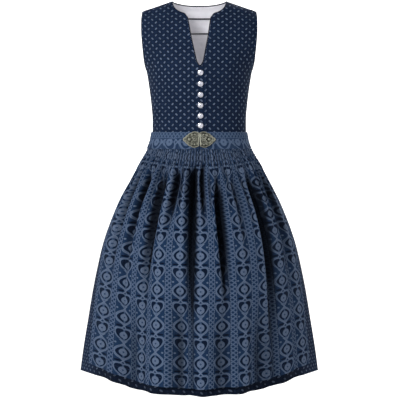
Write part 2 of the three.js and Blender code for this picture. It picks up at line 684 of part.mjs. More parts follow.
/** The apron, over the front of the skirt. */
function apronGeometry() {
  return skirtWall({
    rows: APRON_ROWS,
    columns: APRON_COLUMNS,
    edgeAngle: apronEdge,
    facing: 'front',
    hem: apronHem,
    lift: APRON_LIFT,
    folds: (place, angle, drop) => foldDepth(APRON_FOLDS, place, apronEdge(drop), drop, false),
    gathered: true,
  });
}

/** The skirt's front width, mostly under the apron, whose folds it follows. */
function skirtFrontGeometry() {
  return skirtWall({
    rows: SKIRT_FRONT_ROWS,
    columns: SKIRT_FRONT_COLUMNS,
    edgeAngle: () => 90,
    facing: 'front',
    hem: skirtHem,
    lift: 0,
    folds: (place, angle, drop) => (
      foldDepth(APRON_FOLDS, angle / apronEdge(drop), apronEdge(drop), drop, true)),
    gathered: false,
  });
}

/** The skirt's back width, gathered to the waist. */
function skirtBackGeometry() {
  return skirtWall({
    rows: SKIRT_BACK_ROWS,
    columns: SKIRT_BACK_COLUMNS,
    edgeAngle: () => 90,
    facing: 'back',
    hem: skirtHem,
    lift: 0,
    folds: (place, angle, drop) => foldDepth(SKIRT_BACK_FOLDS, place, 90, drop, false),
    gathered: true,
  });
}

/** A geometry as a solid that can be joined and cut. */
function solidFrom(geometry) {
  geometry.deleteAttribute('normal');
  geometry.deleteAttribute('uv');
  const merged = mergeVertices(geometry);
  return new wasm.Manifold(new wasm.Mesh({
    numProp: 3,
    vertProperties: merged.attributes.position.array,
    triVerts: Uint32Array.from(merged.index.array),
  }));
}

/** A solid as a geometry with one normal for each face. */
function geometryFrom(solid) {
  const { vertProperties, triVerts } = solid.getMesh();
  const geometry = new THREE.BufferGeometry();
  geometry.setAttribute('position', new THREE.BufferAttribute(vertProperties, 3));
  geometry.setIndex(new THREE.BufferAttribute(triVerts, 1));
  geometry.computeVertexNormals();
  return geometry;
}

/** The clasp half's outline, drawn in from its edge by a margin. */
function claspShape(margin) {
  const inner = CLASP.halfGap + margin;
  const rows = CLASP_OUTLINE.map(({ x, top, bottom }) => ({
    x: lerp(inner, CLASP.length - margin, x / CLASP.length),
    top: Math.max(top - margin, CLASP_POINT),
    bottom: Math.max(bottom - margin, CLASP_POINT),
  }));
  return [
    ...rows.map(({ x, bottom }) => new THREE.Vector2(x, -bottom)),
    ...rows.reverse().map(({ x, top }) => new THREE.Vector2(x, top)),
  ];
}

/** A flat piece of the clasp from its outline, standing up from the band by the depth. */
function claspSlab(outline, holes, depth) {
  const shape = new THREE.Shape(outline);
  shape.holes = holes.map((points) => new THREE.Path(points));
  return solidFrom(new THREE.ExtrudeGeometry(shape, { depth, bevelEnabled: false }));
}

/** One half of the clasp, flat in its own plane, with its middle edge near x = 0. */
function claspSolid(withBar) {
  const tip = CLASP_TIP_HOLE;
  const tipHole = Array.from({ length: tip.sides }, (_, i) => {
    const turn = (2 * Math.PI * i) / tip.sides;
    return new THREE.Vector2(tip.x + tip.r * Math.cos(turn), tip.y + tip.r * Math.sin(turn));
  });
  let solid = claspSlab(claspShape(0), [tipHole], CLASP.plate);
  solid = solid.add(claspSlab(claspShape(0), [claspShape(CLASP.rimWidth)], CLASP.plate + CLASP.rim));
  CLASP_BOSSES.forEach(({ x, y, r, rise }) => {
    const dome = new THREE.SphereGeometry(r, BOSS_SEGMENTS.round, BOSS_SEGMENTS.down);
    dome.rotateX(Math.PI / 2).scale(1, 1, rise / r).translate(x, y, CLASP.plate);
    solid = solid.add(solidFrom(dome).trimByPlane([0, 0, 1], CLASP.plate / 2));
  });
  CLASP_RINGS.forEach(({ x, y, r }) => {
    const ring = new THREE.TorusGeometry(r, RING.tube, RING.sides, RING.steps);
    ring.translate(x, y, CLASP.plate);
    solid = solid.add(solidFrom(ring));
  });
  if (withBar) {
    const { x, halfWidth, halfHeight, rise } = CLASP_BAR;
    const bar = new THREE.BoxGeometry(2 * halfWidth, 2 * halfHeight, rise + CLASP.plate);
    bar.translate(x, 0, (rise + CLASP.plate) / 2);
    solid = solid.add(solidFrom(bar));
  }
  return solid;
}

/** A clasp half laid on the band at one side of the centre front, leaning as the band does. */
function claspMesh(name, side) {
  const angle = side * Math.asin(CLASP.seatX / bandSection(CLASP.dropZ).halfWidth);
  const { point, normal: outward } = bandFrame(angle, CLASP.dropZ);
  const top = bandFrame(angle, 0).point;
  const bottom = bandFrame(angle, BAND_SECTIONS.at(-1).drop).point;
  const slope = top.clone().sub(bottom).normalize();
  const along = slope.clone().cross(outward).normalize();
  const up = slope.addScaledVector(along, -slope.dot(along)).normalize();
  const normal = along.clone().cross(up);
  const proud = Math.max(...[top, bottom].map((p) => p.clone().sub(point).dot(normal)));
  const geometry = geometryFrom(claspSolid(side > 0));
  geometry.translate(-CLASP.seatX, 0, proud + CLASP.seat);
  if (side < 0) {
    geometry.scale(-1, 1, 1);
    geometry.setIndex(Array.from(geometry.index.array).reverse());
    geometry.computeVertexNormals();
  }
  const mesh = new THREE.Mesh(geometry, OLD_SILVER);
  mesh.name = name;
  mesh.position.copy(point);
  mesh.setRotationFromMatrix(new THREE.Matrix4().makeBasis(along, up, normal));
  return mesh;
}

const dress = new THREE.Group();
dress.position.set(0, -SHOULDER_REST.y, -SHOULDER_REST.h);

/** Adds a named piece of cloth to the dress. */
function addCloth(name, geometry, material) {
  const mesh = new THREE.Mesh(geometry, material.clone());
  mesh.name = name;
  dress.add(mesh);
}

const rightFront = frontGrid(-1);
const leftFront = frontGrid(1);
const back = backGrid();
const lining = liningGrid(back);

addCloth('bodice_front_right', clothFrom(rightFront, CLOTH), NAVY_COTTON);
addCloth('bodice_front_left', clothFrom(leftFront, CLOTH), NAVY_COTTON);
addCloth('bodice_back', clothFrom(back, CLOTH), NAVY_COTTON);
addCloth('lining_back', clothFrom(lining, LINING), WHITE_COTTON);
TAPES.forEach(({ name, h }) => addCloth(name, tapeGeometry(lining, h), GREY_TAPE));
addCloth('neck_piping', pipingGeometry(neckEdgeFrames(rightFront, leftFront, back), false), DARK_BINDING);
addCloth('armhole_piping_right', pipingGeometry(armholeEdgeFrames(rightFront, back, -1), true), DARK_BINDING);
addCloth('armhole_piping_left', pipingGeometry(armholeEdgeFrames(leftFront, back, 1), true), DARK_BINDING);
BUTTON_HEIGHTS.forEach((h, i) => dress.add(buttonMesh(`button_${i + 1}`, rightFront, h)));
addCloth('apron_waistband', bandGeometry(), APRON_COTTON);
addCloth('apron', apronGeometry(), APRON_COTTON);
addCloth('skirt_front', skirtFrontGeometry(), NAVY_COTTON);
addCloth('skirt_back', skirtBackGeometry(), NAVY_COTTON);
dress.add(claspMesh('clasp_right', -1), claspMesh('clasp_left', 1));

export default dress;
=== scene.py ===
"""Looks of a dirndl: printed bodice, gathered skirt, striped apron with a smocked head, metal trim.

Lengths in the tables are millimetres. Heights (h) count up from the top edge of the apron's band at
the waist and drops count down from it; x runs to the wearer's left and y to the back.
"""

import logging
import math
from collections.abc import Callable
from dataclasses import dataclass, field
from enum import Enum

import bpy
import numpy as np
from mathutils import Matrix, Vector


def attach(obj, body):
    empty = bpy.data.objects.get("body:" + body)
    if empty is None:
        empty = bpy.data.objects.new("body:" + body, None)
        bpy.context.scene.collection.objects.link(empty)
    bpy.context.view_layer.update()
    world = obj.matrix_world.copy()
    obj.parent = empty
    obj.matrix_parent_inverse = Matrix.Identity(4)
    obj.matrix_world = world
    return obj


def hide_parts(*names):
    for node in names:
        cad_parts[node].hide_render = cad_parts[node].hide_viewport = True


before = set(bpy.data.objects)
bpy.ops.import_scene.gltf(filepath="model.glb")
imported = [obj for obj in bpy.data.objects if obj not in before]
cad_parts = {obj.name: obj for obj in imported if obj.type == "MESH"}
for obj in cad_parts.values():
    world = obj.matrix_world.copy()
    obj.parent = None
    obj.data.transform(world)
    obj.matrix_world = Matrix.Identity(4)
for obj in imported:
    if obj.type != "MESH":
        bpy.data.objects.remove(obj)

log = logging.getLogger("dirndl")

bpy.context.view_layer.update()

MM = 0.001
TURN = 2 * math.pi
UPWARDS = np.array([0.0, 0.0, 1.0])
# Where the wearer's shoulders carry the dress, seen from the waist: the frame's origin.
SHOULDER_REST = np.array([0.0, 16.0, 350.0])
# What the lights are turned to, in metres.
DRESS_MIDDLE = (0.0, 0.0, -0.5)

CLOTH = 1.5
LINING = 1.0
BAND_CLOTH = 2.0
SEAM_GAP = 0.3
PROBE = 0.5
# Near-black that a cloth's colour is turned to as painted shade, deep in folds and between gathers.
PAINTED_FOLD_SHADE = "010205"

Points = np.ndarray
Shell = tuple[np.ndarray, list[np.ndarray]]
Line = tuple[np.ndarray, np.ndarray]
Form = Callable[..., np.ndarray]
Socket = bpy.types.NodeSocket
Tree = bpy.types.NodeTree
Material = bpy.types.Material


class Side(Enum):
    """The wearer's sides, as signs of x."""

    RIGHT = -1
    LEFT = 1


class Facing(Enum):
    """Front and back of the body, as signs of y."""

    FRONT = -1
    BACK = 1


@dataclass(frozen=True)
class Table:
    """A short table whose columns are read as smooth curves of its first column.

    Between two rows a curve is a cubic whose slopes are harmonic means, so it doesn't overshoot.
    """

    columns: str
    rows: tuple[tuple[float, ...], ...]

    def at(self, name: str, x: Points | float) -> Points:
        """Reads one column.

        Args:
            name: The column's name.
            x: Values of the first column.

        Returns:
            The column's values there.
        """
        xs = np.array([row[0] for row in self.rows])
        ys = np.array([row[self.columns.split().index(name)] for row in self.rows])
        slopes = np.diff(ys) / np.diff(xs)
        product = slopes[:-1] * slopes[1:]
        total = slopes[:-1] + slopes[1:]
        inner = np.where(product > 0, 2 * product / np.where(total == 0, 1, total), 0)
        tangents = np.concatenate([slopes[:1], inner, slopes[-1:]])
        at = np.clip(x, xs[0], xs[-1])
        i = np.clip(np.searchsorted(xs, at, side="right") - 1, 0, len(slopes) - 1)
        step = xs[i + 1] - xs[i]
        t = (at - xs[i]) / step
        chord = ys[i] + (ys[i + 1] - ys[i]) * t * t * (3 - 2 * t)
        return chord + t * (1 - t) * step * ((1 - t) * tangents[i] - t * tangents[i + 1])

    def read(self, names: str, x: Points | float) -> list[Points]:
        """Several columns, named with spaces between."""
        return [self.at(name, x) for name in names.split()]


BODY = Table(
    "h half_width front back centre",
    (
        (-20, 131.6, 99, 96, -4), (0, 130.4, 96, 92, -4), (35, 130.4, 97, 92, -4),
        (70, 133, 103, 95, -3), (105, 137, 113, 100, -2), (140, 142, 122, 105, -1),
        (172, 148, 126, 108, 0), (205, 165, 124, 109, 2), (240, 180, 116, 107, 5),
        (275, 187, 104, 101, 8), (305, 184, 90, 89, 11), (327, 169, 74, 72, 14),
        (337, 157, 68, 65, 14.5), (345, 134.4, 62, 59, 16), (356, 103.3, 50, 49, 17),
        (366, 75, 38, 37, 18),
    ),
)
ARMHOLE = Table(
    "h front back",
    (
        (172, 148, 148), (180, 149.2, 148.6), (193, 150.9, 149), (215, 152.7, 149.5),
        (245, 155.3, 151.5), (280, 157.6, 154.5), (310, 158, 156.5), (337, 157, 157),
    ),
)
UNDERARM = 172
SHOULDER_TIP = 337
NECK_POINT = 365
SLIT_FOOT = 177
PANEL_FOOT = -18
PANEL_ROWS = Table(
    "row inner outer",
    (
        (0, -18, -18), (1, 10, 10), (2, 40, 40), (3, 72, 72), (4, 103, 103), (5, 129, 128),
        (6, 152, 150), (7, 170, 172), (8, 177, 180), (9, 188, 193), (10, 207, 214),
        (11, 235, 243), (12, 262, 275), (13, 287, 302), (14, 303, 321), (15, 311, 332),
        (16, 315, 337),
    ),
)
NECK_EDGE = Table(
    "step x h",
    ((0, 36.5, 315), (1, 41, 322), (2, 54.5, 327.8), (3, 66.5, 336.5), (4, 73.5, 348), (5, 78, 365)),
)
SLIT = Table(
    "h half axis",
    (
        (177, 4, 2), (188, 10.2, 1.8), (207, 14.4, 1.6), (235, 20.2, 1.1), (262, 25.4, 0.7),
        (287, 29.3, 0.3), (303, 32, 0), (311, 33.6, 0), (315, 36.5, 0),
    ),
)
BAND = Table(
    "drop half_width front back",
    ((0, 133.4, 102.4, 96.3), (18, 137, 105.8, 100.6), (34, 141.8, 109.8, 105.8), (46, 146.5, 113.8, 110.5)),
)
BAND_FOOT = 46
SKIRT = Table(
    "drop half_width front back corner",
    (
        (18, 131.4, 99.3, 96.3, 1), (46, 140, 108, 105, 1), (75, 156, 122, 120, 1),
        (97, 169, 134, 131, 1.02), (127, 186, 150, 147, 1.06), (184, 219, 178, 175, 1.16),
        (247, 247, 203, 200, 1.3), (311, 269, 222, 220, 1.44), (378, 285, 237, 235, 1.58),
        (448, 299, 250, 248, 1.7), (526, 312, 262, 260, 1.81), (605, 325, 272, 270, 1.9),
        (672, 334, 280, 278, 1.95),
    ),
)
SKIRT_HEM = Table("angle drop", ((0, 672), (34, 671), (51, 662), (75, 666), (90, 668)))
APRON_HEM = Table("angle drop", ((0, 652), (28, 649), (43, 642), (56, 637), (80, 636)))
APRON_EDGE = Table("drop angle", ((46, 80), (250, 77), (450, 71), (652, 66)))
SIDE_SEAM = 90.0
SKIRT_CENTRE = -4
SMALLEST_COSINE = 1e-3

# Folds that run down from the gathers: place from the panel's centre (0) to its edges (-1 and 1),
# half width, depth, the drops where a fold starts, is deepest and has run out but for "rest", and
# how far its floor lies to one side, as a share of its depth, so that side is steep and dark.
APRON_FOLDS = (
    (-0.78, 11, 13, 90, 180, 420, 0.2, 0.5),
    (-0.6, 8.5, 21, 86, 165, 430, 0.2, 0.4),
    (-0.4, 8.5, 29, 92, 180, 460, 0.14, 0.25),
    (-0.25, 7, 25, 82, 138, 290, 0, 0.3),
    (-0.05, 10.2, 47, 76, 145, 540, 0.2, -0.08),
    (0.05, 5.6, 21, 78, 132, 280, 0, -0.28),
    (0.2, 9, 40, 104, 215, 480, 0.14, -0.3),
    (0.375, 8, 13, 88, 150, 340, 0.2, -0.45),
    (0.575, 10, 31, 92, 190, 600, 0.28, -0.38),
    (0.8, 11, 14, 92, 190, 470, 0.2, -0.5),
    (-0.5, 22, 9, 380, 600, 700, 1, 0.5),
    (-0.15, 19, 12, 330, 560, 700, 1, 0.5),
    (0.15, 18, 10, 380, 580, 700, 1, -0.5),
    (0.45, 21, 11, 380, 600, 700, 1, -0.5),
)
SKIRT_BACK_FOLDS = (
    (-0.82, 12, 12, 100, 240, 460, 0.25, 0.5),
    (-0.62, 10.5, 19, 92, 250, 480, 0.2, -0.5),
    (-0.44, 9.5, 24, 94, 230, 440, 0.15, 0.5),
    (-0.235, 9.5, 20, 84, 200, 380, 0.1, 0.45),
    (-0.09, 9.5, 27, 86, 270, 520, 0.2, 0.4),
    (0.09, 7.5, 16, 90, 180, 320, 0, -0.45),
    (0.265, 9.5, 27, 84, 260, 470, 0.15, -0.45),
    (0.44, 9.5, 15, 92, 210, 400, 0.2, 0.5),
    (0.65, 11, 22, 88, 250, 520, 0.2, -0.5),
    (0.82, 12, 11, 100, 230, 440, 0.25, -0.5),
    (-0.35, 24, 9, 380, 600, 700, 1, 0.5),
    (0.0, 22, 10, 400, 600, 700, 1, -0.5),
    (0.35, 24, 9, 380, 600, 700, 1, -0.5),
)


def smoothstep(x: Points, low: float | Points, high: float | Points) -> Points:
    """Three t squared less two t cubed, where t runs from 0 at low to 1 at high."""
    t = np.clip((x - low) / (high - low), 0, 1)
    return t * t * (3 - 2 * t)


def unit(vectors: Points) -> Points:
    """Vectors divided by their lengths."""
    return vectors / np.maximum(np.linalg.norm(vectors, axis=-1, keepdims=True), 1e-12)


def join(*parts: Points | float) -> Points:
    """Coordinates, each a grid or a number, side by side along a new last axis."""
    return np.stack(np.broadcast_arrays(*parts), axis=-1)


def reach_along(path: Points) -> Points:
    """How far along a line each of its points lies."""
    return np.concatenate([[0.0], np.cumsum(np.linalg.norm(np.diff(path, axis=0), axis=-1))])


def linear(colour: str) -> tuple[float, float, float, float]:
    """Turns an sRGB colour such as "1d2b44" to linear red, green and blue, and an alpha of 1."""
    levels = [int(colour[i : i + 2], 16) / 255 for i in (0, 2, 4)]
    return (*[c / 12.92 if c <= 0.04045 else ((c + 0.055) / 1.055) ** 2.4 for c in levels], 1.0)


@dataclass
class Sheet:
    """A piece of cloth as a grid.

    It holds the points, the normals there, where each point lies in the flat cloth, and how much
    painted shade it takes in a fold, from 0 on the outside to 1 where next to no light comes.
    """

    points: Points
    normals: Points
    cloth: Points
    hollow: Points | None = None

    def shifted(self, distance: float) -> "Sheet":
        """The same grid moved out along its normals."""
        return Sheet(self.points + self.normals * distance, self.normals, self.cloth, self.hollow)

    def line(self, rows: slice | int, columns: slice | int) -> Line:
        """Points and normals of one row or column of the grid."""
        return self.points[rows, columns], self.normals[rows, columns]


def chained(lines: list[Line]) -> Line:
    """Lines end to end."""
    return np.concatenate([line[0] for line in lines]), np.concatenate([line[1] for line in lines])


def grid_normals(points: Points, like: Points) -> Points:
    """Unit normals of a grid, square to both its differences, on the side that "like" points to."""
    normals = unit(np.cross(np.gradient(points, axis=1), np.gradient(points, axis=0)))
    return np.where((normals * like).sum(-1, keepdims=True) < 0, -normals, normals)


def grid_faces(rows: int, columns: int, first: int = 0, ring: bool = False, loop: bool = False) -> Points:
    """Quads between neighbouring points of a grid.

    Args:
        rows: Rows of the grid.
        columns: Its columns.
        first: Index of its first point.
        ring: Whether the last column joins the first.
        loop: Whether the last row joins the first.

    Returns:
        Four indices for each quad.
    """
    index = first + np.arange(rows * columns).reshape(rows, columns)
    if loop:
        index = np.concatenate([index, index[:1]])
    if ring:
        index = np.concatenate([index, index[:, :1]], axis=1)
    return join(index[:-1, :-1], index[:-1, 1:], index[1:, 1:], index[1:, :-1]).reshape(-1, 4)


def slab_faces(rows: int, columns: int) -> list[Points]:
    """Faces of an upper grid, of the lower one that follows it, and of the rim between the two."""
    count = rows * columns
    index = np.arange(count).reshape(rows, columns)
    rim = np.concatenate([index[0, :-1], index[:-1, -1], index[-1, :0:-1], index[:0:-1, 0]])
    after = np.roll(rim, -1)
    lower = grid_faces(rows, columns, count)[:, ::-1]
    return [grid_faces(rows, columns), lower, join(after, rim, rim + count, after + count)]


def signed_volume(points: Points, faces: list[Points]) -> float:
    """Volume inside a closed shell, below zero where its faces point in.

    It sums the determinants of fans of triangles that reach from the origin to each face.
    """
    total = 0.0
    for group in faces:
        for k in range(1, group.shape[1] - 1):
            a, b, c = (points[group[:, j]] for j in (0, k, k + 1))
            total += float((a * np.cross(b, c)).sum())
    return total / 6


def placed_in_scene(name: str, data: bpy.types.ID) -> bpy.types.Object:
    """A new object in the scene for a mesh, light or camera."""
    made = bpy.data.objects.new(name, data)
    bpy.context.scene.collection.objects.link(made)
    return made


def make_object(
    name: str,
    shell: Shell,
    cloth: Points | None = None,
    slots: Points | None = None,
    marks: dict[str, Points] | None = None,
    crease_angle: float = 40.0,
) -> bpy.types.Object:
    """Makes a closed mesh object whose faces point outwards.

    Args:
        name: The object's name.
        shell: Its points, in millimetres from the waist, and groups of faces as indices.
        cloth: For each point its place in the flat cloth, in millimetres.
        slots: For each face the material slot that it takes.
        marks: Named values for each point, which a finish reads.
        crease_angle: Edges that turn more than these degrees stay sharp.

    Returns:
        The object, at the origin.
    """
    points, faces = shell
    placed = (points.reshape(-1, 3) - SHOULDER_REST) * MM
    if signed_volume(placed, faces) < 0:
        faces = [group[:, ::-1] for group in faces]
    mesh = bpy.data.meshes.new(name)
    mesh.from_pydata(placed.tolist(), [], [face for group in faces for face in group.tolist()])
    if cloth is not None:
        corners = np.concatenate([group.ravel() for group in faces])
        layer = mesh.uv_layers.new(name="cloth")
        layer.uv.foreach_set("vector", cloth.reshape(-1, 2)[corners].astype(np.float32).ravel())
    for mark, values in (marks or {}).items():
        layer = mesh.attributes.new(mark, "FLOAT", "POINT")
        layer.data.foreach_set("value", values.astype(np.float32).ravel())
    if slots is not None:
        mesh.polygons.foreach_set("material_index", slots.astype(np.int32))
    mesh.polygons.foreach_set("use_smooth", np.ones(len(mesh.polygons), dtype=bool))
    mesh.set_sharp_from_angle(angle=math.radians(crease_angle))
    mesh.update()
    return placed_in_scene(name, mesh)


def dress(piece: bpy.types.Object, finishes: list[Material], slot: str, *nodes: str) -> None:
    """Gives a piece its materials and body, and hides the nodes that it replaces."""
    for finish in finishes:
        piece.data.materials.append(finish)
    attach(piece, "root")
    if nodes:
        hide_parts(*nodes)
    log.info("%s: %d faces", piece.name, len(piece.data.polygons))


def wall(name: str, sheet: Sheet, thickness: float) -> bpy.types.Object:
    """A piece of cloth: its outer grid, the same grid moved in, and strips round the four edges.

    The inner face takes the second material slot, the wrong side of the cloth.

    Args:
        name: The piece's name.
        sheet: Its outer face.
        thickness: How thick the cloth is.

    Returns:
        The closed piece.
    """
    faces = slab_faces(*sheet.points.shape[:2])
    slots = np.concatenate([np.full(len(group), i == 1) for i, group in enumerate(faces)])
    points = np.concatenate([sheet.points.reshape(-1, 3), sheet.shifted(-thickness).points.reshape(-1, 3)])
    cloth = np.concatenate([sheet.cloth.reshape(-1, 2)] * 2)
    # The hollow mark carries painted shade to the finish.
    marks = None if sheet.hollow is None else {"hollow": np.concatenate([sheet.hollow.ravel()] * 2)}
    return make_object(name, (points, faces), cloth, slots, marks)


def tube(path: Points, out: Points, radius: Points | float, sides: int, closed: bool) -> Shell:
    """A round section carried along a path.

    A point lies at path + radius (cos t · out + sin t · side), where side is square to both the
    path and "out", and t runs once round.

    Args:
        path: The middle line's points.
        out: A direction square to the path, one for all of them or one each.
        radius: The section's radius, one for all or one each.
        sides: Points round the section.
        closed: Whether the path is a ring.

    Returns:
        The points, and quads with a fan of triangles over each open end.
    """
    ahead = np.roll(path, -1, axis=0) - np.roll(path, 1, axis=0) if closed else np.gradient(path, axis=0)
    side = unit(np.cross(ahead, out))
    up = unit(np.cross(side, ahead))
    t = np.linspace(0, TURN, sides, endpoint=False)[None, :, None]
    reach = np.broadcast_to(radius, (len(path),))[:, None, None]
    points = path[:, None] + reach * (np.cos(t) * up[:, None] + np.sin(t) * side[:, None])
    faces = [grid_faces(len(path), sides, ring=True, loop=closed)]
    if not closed:
        last = (len(path) - 1) * sides
        fan = np.arange(1, sides - 1)
        faces.append(np.concatenate([join(0, fan + 1, fan), join(last, last + fan, last + fan + 1)]))
    return points.reshape(-1, 3), faces


def capped(grid: Points, poles: list[Points]) -> Shell:
    """Rings of points as a closed shell, with a fan of triangles from each end to its pole."""
    rings, around = grid.shape[:2]
    count = rings * around
    ring = np.arange(around)
    after = np.roll(ring, -1)
    last = count - around
    caps = np.concatenate([join(count, after, ring), join(count + 1, ring + last, after + last)])
    return np.concatenate([grid.reshape(-1, 3), poles]), [grid_faces(rings, around, ring=True), caps]


def joined(parts: list[Shell]) -> Shell:
    """Several shells as one set of points and faces, each turned to face outwards."""
    points, faces, first = [], [], 0
    for some, groups in parts:
        flip = signed_volume(some, groups) < 0
        faces += [(group[:, ::-1] if flip else group) + first for group in groups]
        points.append(some)
        first += len(some)
    return np.concatenate(points), faces


def along(path: Points, spacing: float) -> tuple[Points, Points]:
    """For evenly spaced places on a line, the index of the point before and the share to the next."""
    reach = reach_along(path)
    at = np.arange(spacing / 2, reach[-1], spacing)
    i = np.clip(np.searchsorted(reach, at, side="right") - 1, 0, len(reach) - 2)
    return i, (at - reach[i]) / np.diff(reach)[i]


@dataclass(frozen=True)
class Stitching:
    """Rows of sewing stitches that lie on a cloth."""

    length: float = 2.3
    spacing: float = 3.2
    thread: float = 0.38

    def row(self, line: Line) -> Shell:
        """Stitches along a line, each a low four-sided capsule that dips at its ends.

        Args:
            line: Points of the line on the cloth, and the cloth's normals there.

        Returns:
            Points and quads of all stitches.
        """
        path, normals = line
        i, share = along(path, self.spacing)
        middle = path[i] + (path[i + 1] - path[i]) * share[:, None]
        ahead = unit(path[i + 1] - path[i])
        up = unit(normals[i])
        across = np.cross(ahead, up)
        stations = np.array([-0.5, -0.3, 0.3, 0.5]) * self.length
        rise = np.array([-0.4, 0.55, 0.55, -0.4]) * self.thread
        wide = np.array([0.35, 1.0, 1.0, 0.35]) * self.thread
        corners = np.array([[1, 0], [0, 1], [-1, 0], [0, -1]])
        centre = middle[:, None] + ahead[:, None] * stations[:, None] + up[:, None] * rise[:, None]
        ring = corners[:, :1] * across[:, None, None] + corners[:, 1:] * up[:, None, None]
        points = centre[:, :, None] + ring * wide[None, :, None, None]
        quads = np.concatenate([grid_faces(4, 4, ring=True), [[3, 2, 1, 0], [12, 13, 14, 15]]])
        faces = (np.arange(len(middle))[:, None, None] * 16 + quads[None]).reshape(-1, 4)
        return points.reshape(-1, 3), [faces]

    def sew(self, name: str, lines: list[Line], finish: Material, slot: str) -> None:
        """One piece of the stitches along several lines."""
        shell = joined([self.row(line) for line in lines])
        dress(make_object(name, shell, shell[0][:, [0, 2]]), [finish], slot)


@dataclass(frozen=True)
class Crease:
    """A soft trough or ridge on a fitted panel, in the panel's own arc and height."""

    arc: float
    height: float
    lean: float
    length: float
    width: float
    depth: float

    def rise(self, arc: Points, height: Points) -> Points:
        """How far it lifts the cloth: a Gaussian across it, times a Gaussian along it.

        Args:
            arc: Distance round the body from the centre front or back.
            height: Height over the waist.

        Returns:
            The lift at each point, below zero in a trough.
        """
        cosine, sine = math.cos(math.radians(self.lean)), math.sin(math.radians(self.lean))
        across = (arc - self.arc) * cosine + (height - self.height) * sine
        ahead = (height - self.height) * cosine - (arc - self.arc) * sine
        return -self.depth * np.exp(-0.5 * (across / self.width) ** 2 - 0.5 * (ahead / self.length) ** 2)


def body_frame(x: Points, h: Points, facing: Facing) -> Line:
    """Points and outward normals of the body form.

    A level section is a half ellipse, y = centre ± depth · sqrt(1 - (x / half width)²), and the
    normal is the gradient of that form, with the slopes of its measures up the body.

    Args:
        x: Distances from the middle.
        h: Heights over the waist.
        facing: Front or back.

    Returns:
        The points and their unit normals.
    """
    way = facing.value
    names = f"half_width {facing.name.lower()} centre"
    width, depth, centre = BODY.read(names, h)
    above, below = BODY.read(names, h + PROBE), BODY.read(names, h - PROBE)
    slopes = [(high - low) / (2 * PROBE) for high, low in zip(above, below)]
    sine = np.clip(x / width, -1, 1)
    cosine = np.sqrt(1 - sine**2)
    rise = cosine * width * (slopes[2] + way * slopes[1] * cosine)
    normals = join(depth * sine, way * width * cosine, -way * rise - depth * slopes[0] * sine**2)
    return join(x, centre + way * depth * cosine, h), unit(normals)


def body_arc(x: Points, h: Points, facing: Facing) -> Points:
    """Length of a level section from the middle out to x, summed over short steps of its angle."""
    width, depth = BODY.read(f"half_width {facing.name.lower()}", h)
    end = np.arcsin(np.clip(x / width, -1, 1))
    angle = end[..., None] * (np.arange(24) + 0.5) / 24
    speed = np.sqrt((width[..., None] * np.cos(angle)) ** 2 + (depth[..., None] * np.sin(angle)) ** 2)
    return speed.mean(-1) * end


def body_rise(h: Points, facing: Facing) -> Points:
    """Length up the middle of the body form from its foot to each height."""
    levels = np.linspace(-20, 366, 400)
    profile = join(levels, BODY.at(facing.name.lower(), levels) * 0.8)
    return np.interp(h, levels, reach_along(profile) - 20)


def shoulder_line(count: int) -> Line:
    """The shoulder seam from the neck point out to the tip, as distances and heights."""
    h = NECK_POINT + (SHOULDER_TIP - NECK_POINT) * np.sin(np.linspace(0, 1, count) * math.pi / 2)
    return BODY.at("half_width", h), h


def panel_sheet(
    side: Side, facing: Facing, top: Line, rows: Points, inner_edge: Points, creases: tuple, lift: Form
) -> Sheet:
    """One side of a bodice panel.

    Each row runs from its height at the inner edge to its height at the side seam or armhole, and
    each column keeps its share of the way across, so a point's height is its share of the
    column's top and its distance from the middle is mixed from the row's two ends.

    Args:
        side: Which side of the body.
        facing: Front or back.
        top: Distances from the middle and heights along the top edge.
        rows: Row numbers, whole ones being those of the solid's panel.
        inner_edge: Distance of the inner edge from the middle on each row.
        creases: Creases of this panel.
        lift: How far the panel stands off the body, by distance and height.

    Returns:
        The panel's outer face.
    """
    top_x, top_h = top
    share = ((top_x - top_x[0]) / (top_x[-1] - top_x[0]))[None, :]
    inner, outer = PANEL_ROWS.read("inner outer", rows)
    inner_level = ((inner - PANEL_FOOT) / (PANEL_ROWS.rows[-1][1] - PANEL_FOOT))[:, None]
    outer_level = ((outer - PANEL_FOOT) / (SHOULDER_TIP - PANEL_FOOT))[:, None]
    h = PANEL_FOOT + (top_h[None, :] - PANEL_FOOT) * (inner_level + (outer_level - inner_level) * share)
    seam, armhole = BODY.at("half_width", outer), ARMHOLE.at(facing.name.lower(), outer)
    edge = np.where(outer < UNDERARM, seam, armhole)[:, None]
    across = inner_edge[:, None] + (edge - inner_edge[:, None]) * share
    points, normals = body_frame(side.value * across, h, facing)
    points[..., 1] += facing.value * SEAM_GAP / 2
    arc = body_arc(side.value * across, h, facing)
    rise = lift(across, h) + sum(crease.rise(arc, h) for crease in creases)
    return Sheet(points + normals * rise[..., None], normals, join(arc, body_rise(h, facing)))


def add_node(tree: Tree, kind: str, settings: dict, links: dict) -> bpy.types.Node:
    """Adds a node with its settings and inputs.

    Args:
        tree: The material's node tree.
        kind: The node's type.
        settings: Attributes of the node.
        links: For each input, by name or number, the socket that feeds it or its value.

    Returns:
        The node.
    """
    node = tree.nodes.new(kind)
    for key, value in settings.items():
        setattr(node, key, value)
    for key, value in links.items():
        if isinstance(value, Socket):
            tree.links.new(value, node.inputs[key])
        else:
            node.inputs[key].default_value = value
    return node


SIGNS = {"*": "MULTIPLY", "+": "ADD", "-": "SUBTRACT", "/": "DIVIDE"}


